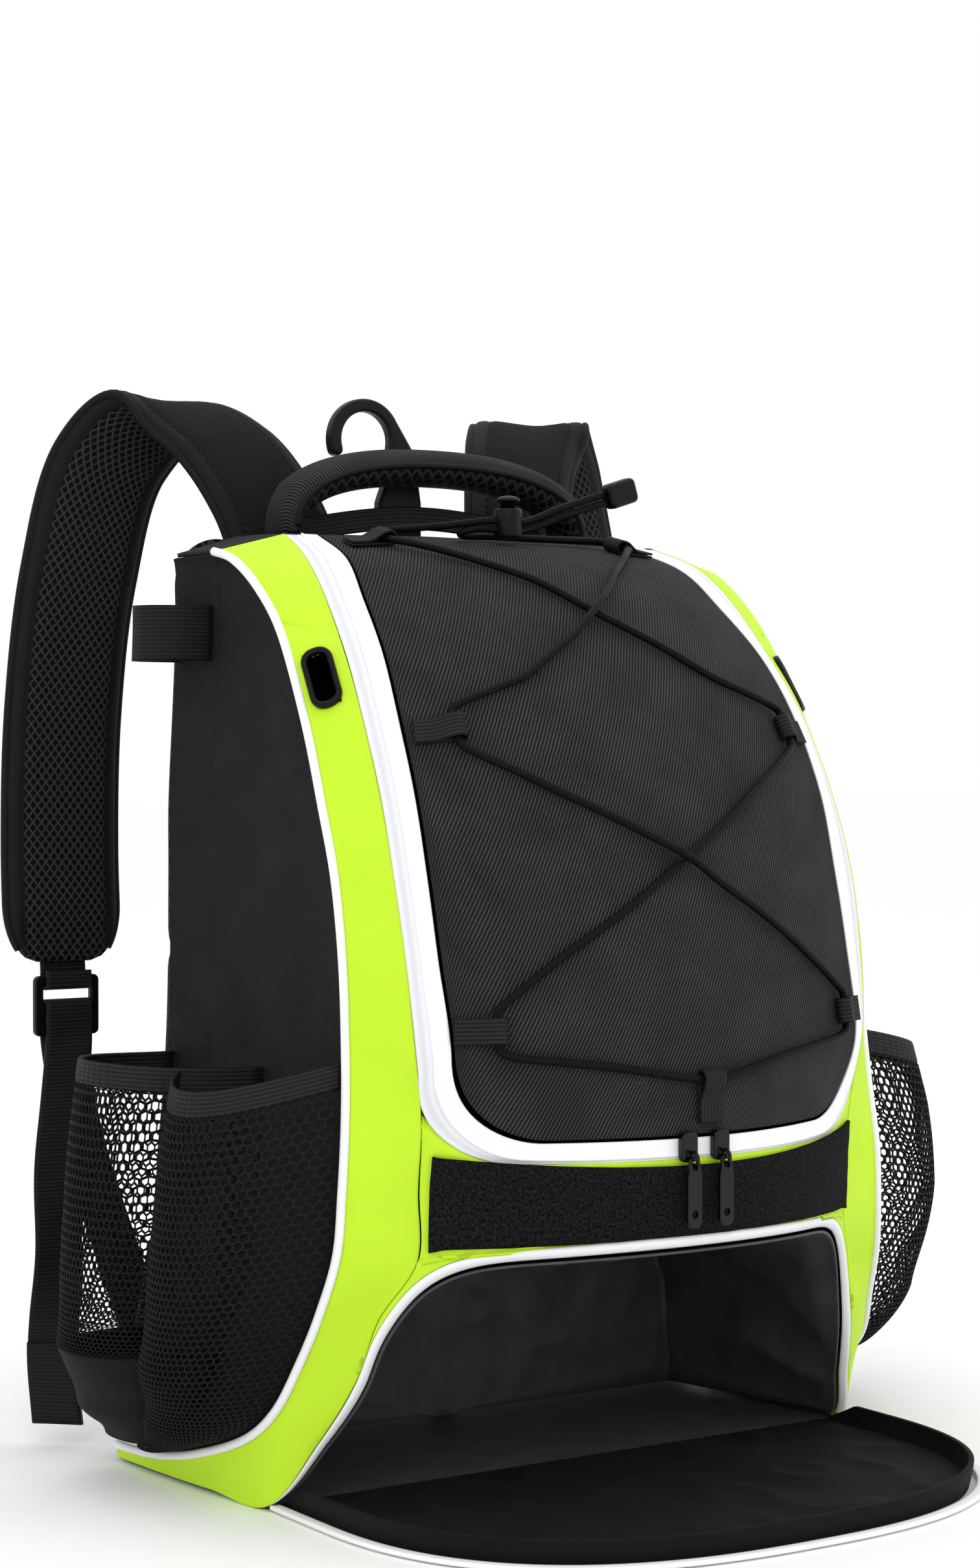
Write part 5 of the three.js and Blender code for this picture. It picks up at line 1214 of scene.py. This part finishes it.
def ballCurve(z, u, side):
    z, u = np.broadcast_arrays(np.asarray(z, float), np.asarray(u, float))
    start = batCurve(z, pockets["ballStart"] + 0 * z, side, pockets["hemWall"] + 0.9)
    low = pipeYAt(z)
    reach = pocketBulge(z, "ball")
    base = sideXAt(z) + pockets["wallGap"]
    firstX = side * np.maximum(np.abs(start[..., 0]) + 4, base + reach * 1.12)
    first = xyz(firstX, start[..., 1] - 0.28 * (start[..., 1] - low), z)
    second = xyz(side * (base + reach * 1.1), low + 6, z)
    end = xyz(side * base, low + pipeInset(z), z)
    t = u[..., None]
    return (1 - t) ** 3 * start + 3 * (1 - t) ** 2 * t * first + 3 * (1 - t) * t**2 * second + t**3 * end


def hemTop(kind, u):
    if kind == "bat":
        return pockets["top"] - 4 + 3 * np.sin(np.pi * u)
    return pockets["top"] - 3 + 7 * u - 9 * np.sin(np.pi * u)


def pocketPoint(kind, side, u, v, bottom):
    top = hemTop(kind, u) - pockets["hem"] - 0.3
    z = top + (bottom - top) * (1 - (1 - v) ** pockets["crowding"])
    return batCurve(z, u, side) if kind == "bat" else ballCurve(z, u, side)


def hexagons(width, height, cell):
    # a flat honeycomb of knotted cells from one six-sided ring, doubled until it covers the size
    mesh = bmesh.new()
    radius = cell / math.sqrt(3)
    bmesh.ops.create_circle(mesh, cap_ends=True, segments=6, radius=radius)

    def double(step):
        copy = bmesh.ops.duplicate(mesh, geom=mesh.verts[:] + mesh.edges[:] + mesh.faces[:])["geom"]
        bmesh.ops.translate(mesh, verts=[g for g in copy if isinstance(g, bmesh.types.BMVert)], vec=step)

    double(Vector((cell / 2, radius * 1.5, 0)))
    for step, reach in ((Vector((cell, 0, 0)), width), (Vector((0, radius * 3, 0)), height)):
        while step.length < reach:
            double(step)
            step = step * 2
    outside = [f for f in mesh.faces if f.calc_center_median().x > width or f.calc_center_median().y > height]
    bmesh.ops.delete(mesh, geom=outside, context="FACES")
    bmesh.ops.remove_doubles(mesh, verts=mesh.verts, dist=cell * 0.02)
    return mesh


def netPiece(name, kind, side, bottom):
    spots = np.linspace(0, 1, 60)
    wide = pathLength(pocketPoint(kind, side, spots, np.full(60, 0.3), bottom))
    tall = pathLength(pocketPoint(kind, side, np.full(60, 0.5), spots, bottom))
    mesh = hexagons(wide, tall, pockets["cellWide"])
    cells = bmesh.ops.inset_individual(mesh, faces=mesh.faces[:], thickness=pockets["strand"],
                                       use_even_offset=True)
    holes = [f for f in mesh.faces if f not in set(cells["faces"])]
    bmesh.ops.delete(mesh, geom=holes, context="FACES")
    spots = np.array([v.co[:] for v in mesh.verts])
    u = np.clip(spots[:, 0] / wide, 0, 1)
    v = np.clip(spots[:, 1] / tall, 0, 1)
    points = pocketPoint(kind, side, u, v, bottom)
    for vert, p in zip(mesh.verts, points):
        vert.co = Vector(p) * mm
    bmesh.ops.dissolve_degenerate(mesh, edges=mesh.edges, dist=1e-6)
    bmesh.ops.recalc_face_normals(mesh, faces=mesh.faces)
    label = kind + "Net" + name
    piece = addPiece(label, meshData(label, mesh), cloth["net"],
                     stands=[kind + "_pocket_" + name.lower()], slotName="net", smooth=False)
    addWall(piece, pockets["strandWall"], 0)


def makePockets(name, side):
    lower = name.lower()
    netPiece(name, "bat", side, pockets["baseTop"])
    netPiece(name, "ball", side, pockets["ballBottom"])
    u, v = uvGrid(70, 36, None, lambda s: 1 - (1 - s) ** pockets["crowding"])
    z = pockets["baseTop"] - 0.3 + (pockets["baseBottom"] - pockets["baseTop"] + 0.3) * v
    base = puffed(batCurve(z, u, side), 0.9, 26, 61, edgeFade(u, v, 0.1))
    sheetPiece("pocketBase" + name, base, (side * 130, pockets["middleY"], 100), front["wall"], cloth["side"],
               stands=["pocket_base_" + lower], slotName="side_cloth")
    for kind, curve, middleY in (("bat", batCurve, pockets["middleY"]), ("ball", ballCurve, -10)):
        u, v = uvGrid(110, 16)
        z = hemTop(kind, u) - pockets["hem"] * v
        points = curve(z, u, side)
        centre = (side * 130, middleY, pockets["top"])
        gathers = 0.35 * np.sin(u * 190) * (0.4 + 0.6 * v)
        bead = 0.7 * (1 - np.abs(2 * v - 1) ** 6)
        outward = unit(points - np.array(centre))
        points = points + outward * (gathers + bead - 0.5)[..., None]
        sheetPiece(kind + "Hem" + name, points, centre, pockets["hemWall"] - 0.3, cloth["hem"],
                   stands=[kind + "_hem_" + lower], slotName="webbing")
    u, v = uvGrid(80, 12)
    z = pockets["strapZ"] + (0.5 - v) * pockets["strapHeight"]
    middle = (pockets["strapRear"] + pockets["strapFront"]) / 2
    half = pockets["strapRear"] - middle
    out = pockets["strapReach"] * np.sin(np.pi * u).clip(0) ** 0.7
    band = xyz(side * (sideXAt(z) + 0.5 + out), middle + half * np.cos(np.pi * u), z)
    sheetPiece("batBand" + name, band, (side * 120, middle, pockets["strapZ"]), pockets["strapWall"],
               cloth["webbing"], stands=["bat_strap_" + lower], slotName="webbing")


for name, side in bothSides:
    makePockets(name, side)
print("pockets made")

# webbing loops, elastic cord, its lock and end clip
lacing = {
    "radius": 1.9, "span": 34, "around": 14, "lockSteps": 48, "loopWidth": 12, "loopLength": 20,
    "loopWall": 1.1, "loopRoom": 1.25, "overCloth": 1.9,
    "barrel": (0, 27, 455.5), "barrelRadius": 7, "barrelHeight": 15, "plungerTravel": 3, "plungerRadius": 4,
    "endLength": 18, "endHeight": 13, "endLean": 0.3,
}
loopSpots = [(0.55, -70, 0.55, -92), (4.2, -95, 4.25, -117), (7.75, -99, 7.75, -119), (8.42, 0, 9.1, 0),
             (7.75, 99, 7.75, 119), (4.2, 95, 4.25, 117), (0.55, 70, 0.55, 92)]  # row, x, baseRow, baseX
# the cord's way: free points (x, y, z), and points over the cloth as (row, x, lift)
cordStart = [(57.3, 24, 480.1), (32, 26, 472), (10, 27, 464.2), (0, 27, 464.2), (-10, 27, 464.2), (-34, 31, 461)]
cordOver = [
    (0.26, -66, 2.1), (0.33, -70, 1.9), (0.77, -70, 1.9), (0.86, -66, 1.8), (1.5, -42, 0.7), (2.55, 0, 0.7),
    (3.5, 55, 0.7), (3.9, 91, 1.8), (3.98, 95, 1.9), (4.42, 95, 1.9), (4.5, 91, 1.8), (4.95, 58, 0.7), (5.8, 0, 0.7),
    (7.0, -70, 0.7), (7.48, -96, 1.8), (7.55, -99, 1.9), (7.95, -99, 1.9), (8.03, -94, 1.8), (8.2, -50, 0.7),
    (8.4, -11, 1.8), (8.42, 0, 1.9), (8.4, 11, 1.8), (8.2, 50, 0.7), (8.03, 94, 1.8), (7.95, 99, 1.9), (7.55, 99, 1.9),
    (7.48, 96, 1.8), (7.0, 70, 0.7), (6.1, 17, 3), (5.8, 0, 5.3), (5.5, -19, 3), (4.95, -58, 0.7), (4.5, -91, 1.8),
    (4.42, -95, 1.9), (3.98, -95, 1.9), (3.9, -91, 1.8), (3.5, -55, 0.7), (2.9, -18, 3), (2.55, 0, 5.3), (2.2, 16, 3),
    (1.5, 42, 0.7), (0.86, 66, 1.8), (0.77, 70, 1.9), (0.33, 70, 1.9), (0.27, 64, 1.8), (0.32, 30, 1), (0.32, 0, 1),
    (0.4, -20, 1.2),
]
cordEnd = [(-26, 30, 457.6), (-19, 27.4, 459.7), (-10, 27, 459.7), (0, 27, 459.7), (10, 27, 459.7), (32, 26, 467.5),
           (58.7, 24, 475.9)]


def makeCord():
    points = [np.array(p, float) for p in cordStart]
    before = None
    for row, x, lift in cordOver:
        here = overBody(row, x, lift + lacing["radius"])
        if before and np.linalg.norm(here - points[-1]) > lacing["span"]:
            midLift = (lift + before[2]) / 2 + lacing["radius"]
            points.append(overBody((row + before[0]) / 2, (x + before[1]) / 2, midLift))
        points.append(here)
        before = (row, x, lift)
    points += [np.array(p, float) for p in cordEnd]
    path = smoothPath(points, 14)
    tubePiece("bungeeCord", path, lacing["radius"], cloth["elastic"], around=lacing["around"],
              stands=["bungee_cord"], slotName="webbing")


def makeLoop(number, spot):
    row, x, baseRow, baseX = spot
    tip, base, normal = body(row, x), body(baseRow, baseX), bodyNormal(row, x)
    away = tip - base
    away = unit(away - normal * away.dot(normal))
    across = unit(np.cross(away, normal))
    lift = lacing["overCloth"] + lacing["radius"]
    radius = lacing["radius"] + lacing["loopRoom"] + lacing["loopWall"] / 2
    length = lacing["loopLength"]
    steps = [(-length, 0.95), (-2, 0.95), (1.8, lift - radius * 0.78), (radius, lift), (1.8, lift + radius * 0.85),
             (-2.4, lift + radius * 0.8), (-length * 0.5, 2.9), (-length, 2.5)]
    path = evenPath(smoothPath([(d, n, 0) for d, n in steps], 14), 110)
    lean = np.clip(-path[:, 0] / length, 0, 1)
    sink = (base - tip).dot(normal) * lean
    v = np.linspace(-0.5, 0.5, 13)
    line = tip + away * path[:, :1] + normal * (path[:, 1] + sink)[:, None]
    grid = line[:, None, :] + across * (v * lacing["loopWidth"])[None, :, None]
    inside = tip + normal * lift
    sheetPiece(f"cordLoop{number}", grid, tuple(inside), lacing["loopWall"], cloth["loops"], 0,
               stands=[f"cord_loop_{number}"], slotName="webbing")


def lathe(name, profile, **more):
    # a turned piece of the lock about its upright axis: the profile is radius and height in mm
    mesh = bmesh.new()
    verts = [mesh.verts.new((r * mm, 0, z * mm)) for r, z in profile]
    edges = [mesh.edges.new(pair) for pair in zip(verts, verts[1:])]
    bmesh.ops.spin(mesh, geom=verts + edges, cent=(0, 0, 0), axis=(0, 0, 1), angle=math.tau,
                   steps=lacing["lockSteps"], use_merge=True)
    bmesh.ops.remove_doubles(mesh, verts=mesh.verts, dist=1e-6)
    bmesh.ops.recalc_face_normals(mesh, faces=mesh.faces)
    bmesh.ops.translate(mesh, verts=mesh.verts, vec=Vector(lacing["barrel"]) * mm)
    addPiece(name, meshData(name, mesh), cloth["plastic"], slotName="plastic", **more)


def makeCordLock():
    r, h = lacing["barrelRadius"], lacing["barrelHeight"]
    well = lacing["plungerRadius"] + 0.4
    wellFloor = h - lacing["plungerTravel"] - 0.8
    walls = [(0, 0), (r - 1.2, 0), (r - 0.3, 0.4), (r, 1.2), (r, h - 1.4), (r - 0.4, h - 0.4), (r - 1.2, h),
             (well, h), (well, wellFloor), (0, wellFloor)]
    lathe("cordLock", walls, stands=["cord_lock"])
    top = h + lacing["plungerTravel"] + 0.3
    stem = lacing["plungerRadius"] - 0.1
    dome = [(0, h - 0.5), (stem, h - 0.5), (stem, top), (5.6, top), (6.1, top + 0.3), (6.2, top + 0.8), (5.6, top + 1.7),
            (4.2, top + 2.5), (2.2, top + 3.0), (0, top + 3.2)]
    lathe("lockButton", dome, rideOn="lock_button", stands=["lock_plunger"])
    first, last = np.array(cordStart[0]), np.array(cordEnd[-1])
    lean = lacing["endLean"]
    reach = lacing["endLength"] / 2 + 0.6
    centre = (first + last) / 2 + np.array([reach * math.cos(lean), 0, reach * math.sin(lean)])
    centre[1] = first[1]
    turn = Matrix.Translation(Vector(centre) * mm) @ Matrix.Rotation(-lean, 4, "Y") @ upright
    platePiece("cordEnd", [roundBox(lacing["endLength"], lacing["endHeight"], 3)], 8.5, 2.2, turn, cloth["plastic"],
               stands=["cord_end"], slotName="plastic")


makeCord()
for number, spot in enumerate(loopSpots, 1):
    makeLoop(number, spot)
makeCordLock()
print("lacing made")

# zip sliders and their pulls
zips = {"pulls": (("Left", -13), ("Right", 5)), "pivotZ": 163, "pivotLift": 2.3, "width": 9, "length": 14,
        "thickness": 4.5, "ring": 3, "ringWire": 0.8, "pullWidth": 8, "pullLength": 33, "bar": 1.05, "hole": 1.7}


def makeZipPull(name, x):
    face = body(frontRow(zips["pivotZ"]), x)
    pivotY = face[1] - zips["thickness"] - 0.5 - zips["pivotLift"]
    top = zips["pivotZ"] + zips["length"] / 2 - 2
    middle = (x, face[1] - 0.5 - zips["thickness"] / 2, top)
    platePiece("slider" + name, [roundBox(zips["width"], zips["length"], 3)], zips["thickness"], 1.2,
               facing(middle), cloth["metal"], stands=["zipper_slider_" + name.lower()], slotName="dark_metal")
    angles = np.linspace(0, 2 * math.pi, 40)
    ring = xyz(x, pivotY + zips["ring"] * np.cos(angles), zips["pivotZ"] + zips["ring"] * np.sin(angles))
    tubePiece("sliderLoop" + name, ring, zips["ringWire"], cloth["metal"], around=10, slotName="dark_metal")
    w, bar, length = zips["pullWidth"] / 2, zips["bar"], zips["pullLength"]
    low = -length + bar
    outline = roundArc((0, bar - w * 0.72), w * 0.72, 20, 160, 9) + [(-w, -9)]
    outline += roundArc((0, low + w), w, 180, 360, 14) + [(w, -9)]
    eye = [(-1.5, -bar), (-1.5, -5.2), (1.5, -5.2), (1.5, -bar)]
    hole = roundArc((0, low + 6.5), zips["hole"], 0, 360, 17)[:-1]
    platePiece("zipPull" + name, [outline, eye, hole], 2 * bar, 0.45, facing((x, pivotY, zips["pivotZ"])),
               cloth["metal"], slotName="dark_metal", rideOn=name.lower() + "_zip_pull",
               stands=["zipper_pull_" + name.lower()])


for name, x in zips["pulls"]:
    makeZipPull(name, x)
print("zip pulls made")

# pale room with soft light
room = {"floorHalf": 14, "floorZ": -0.0006, "world": 1.0, "aim": (0, 0, 0.24)}
lamps = [("keyLamp", (-1.6, -1.9, 1.9), 1.4, 9), ("fillLamp", (1.9, -1.4, 1.0), 1.6, 3),
         ("topLamp", (0.1, 0.2, 2.2), 1.6, 7)]  # place in metres, size and power


def makeRoom():
    floor = bpy.data.meshes.new("floor")
    mesh = bmesh.new()
    bmesh.ops.create_grid(mesh, x_segments=2, y_segments=2, size=room["floorHalf"])
    mesh.to_mesh(floor)
    mesh.free()
    ground = bpy.data.objects.new("floor", floor)
    ground.location.z = room["floorZ"]
    bpy.context.scene.collection.objects.link(ground)
    floor.materials.append(cloth["paper"])
    world = bpy.data.worlds.new("paleRoom")
    world.use_nodes = True
    background = world.node_tree.nodes["Background"]
    background.inputs["Color"].default_value = (1, 1, 1, 1)
    background.inputs["Strength"].default_value = room["world"]
    bpy.context.scene.world = world
    for name, spot, size, power in lamps:
        data = bpy.data.lights.new(name, "AREA")
        data.size = size
        data.energy = power
        lamp = bpy.data.objects.new(name, data)
        bpy.context.scene.collection.objects.link(lamp)
        lamp.location = spot
        aim = Vector(room["aim"]) - Vector(spot)
        lamp.rotation_euler = aim.to_track_quat("-Z", "Y").to_euler()


makeRoom()
bpy.context.scene.view_settings.view_transform = "Standard"
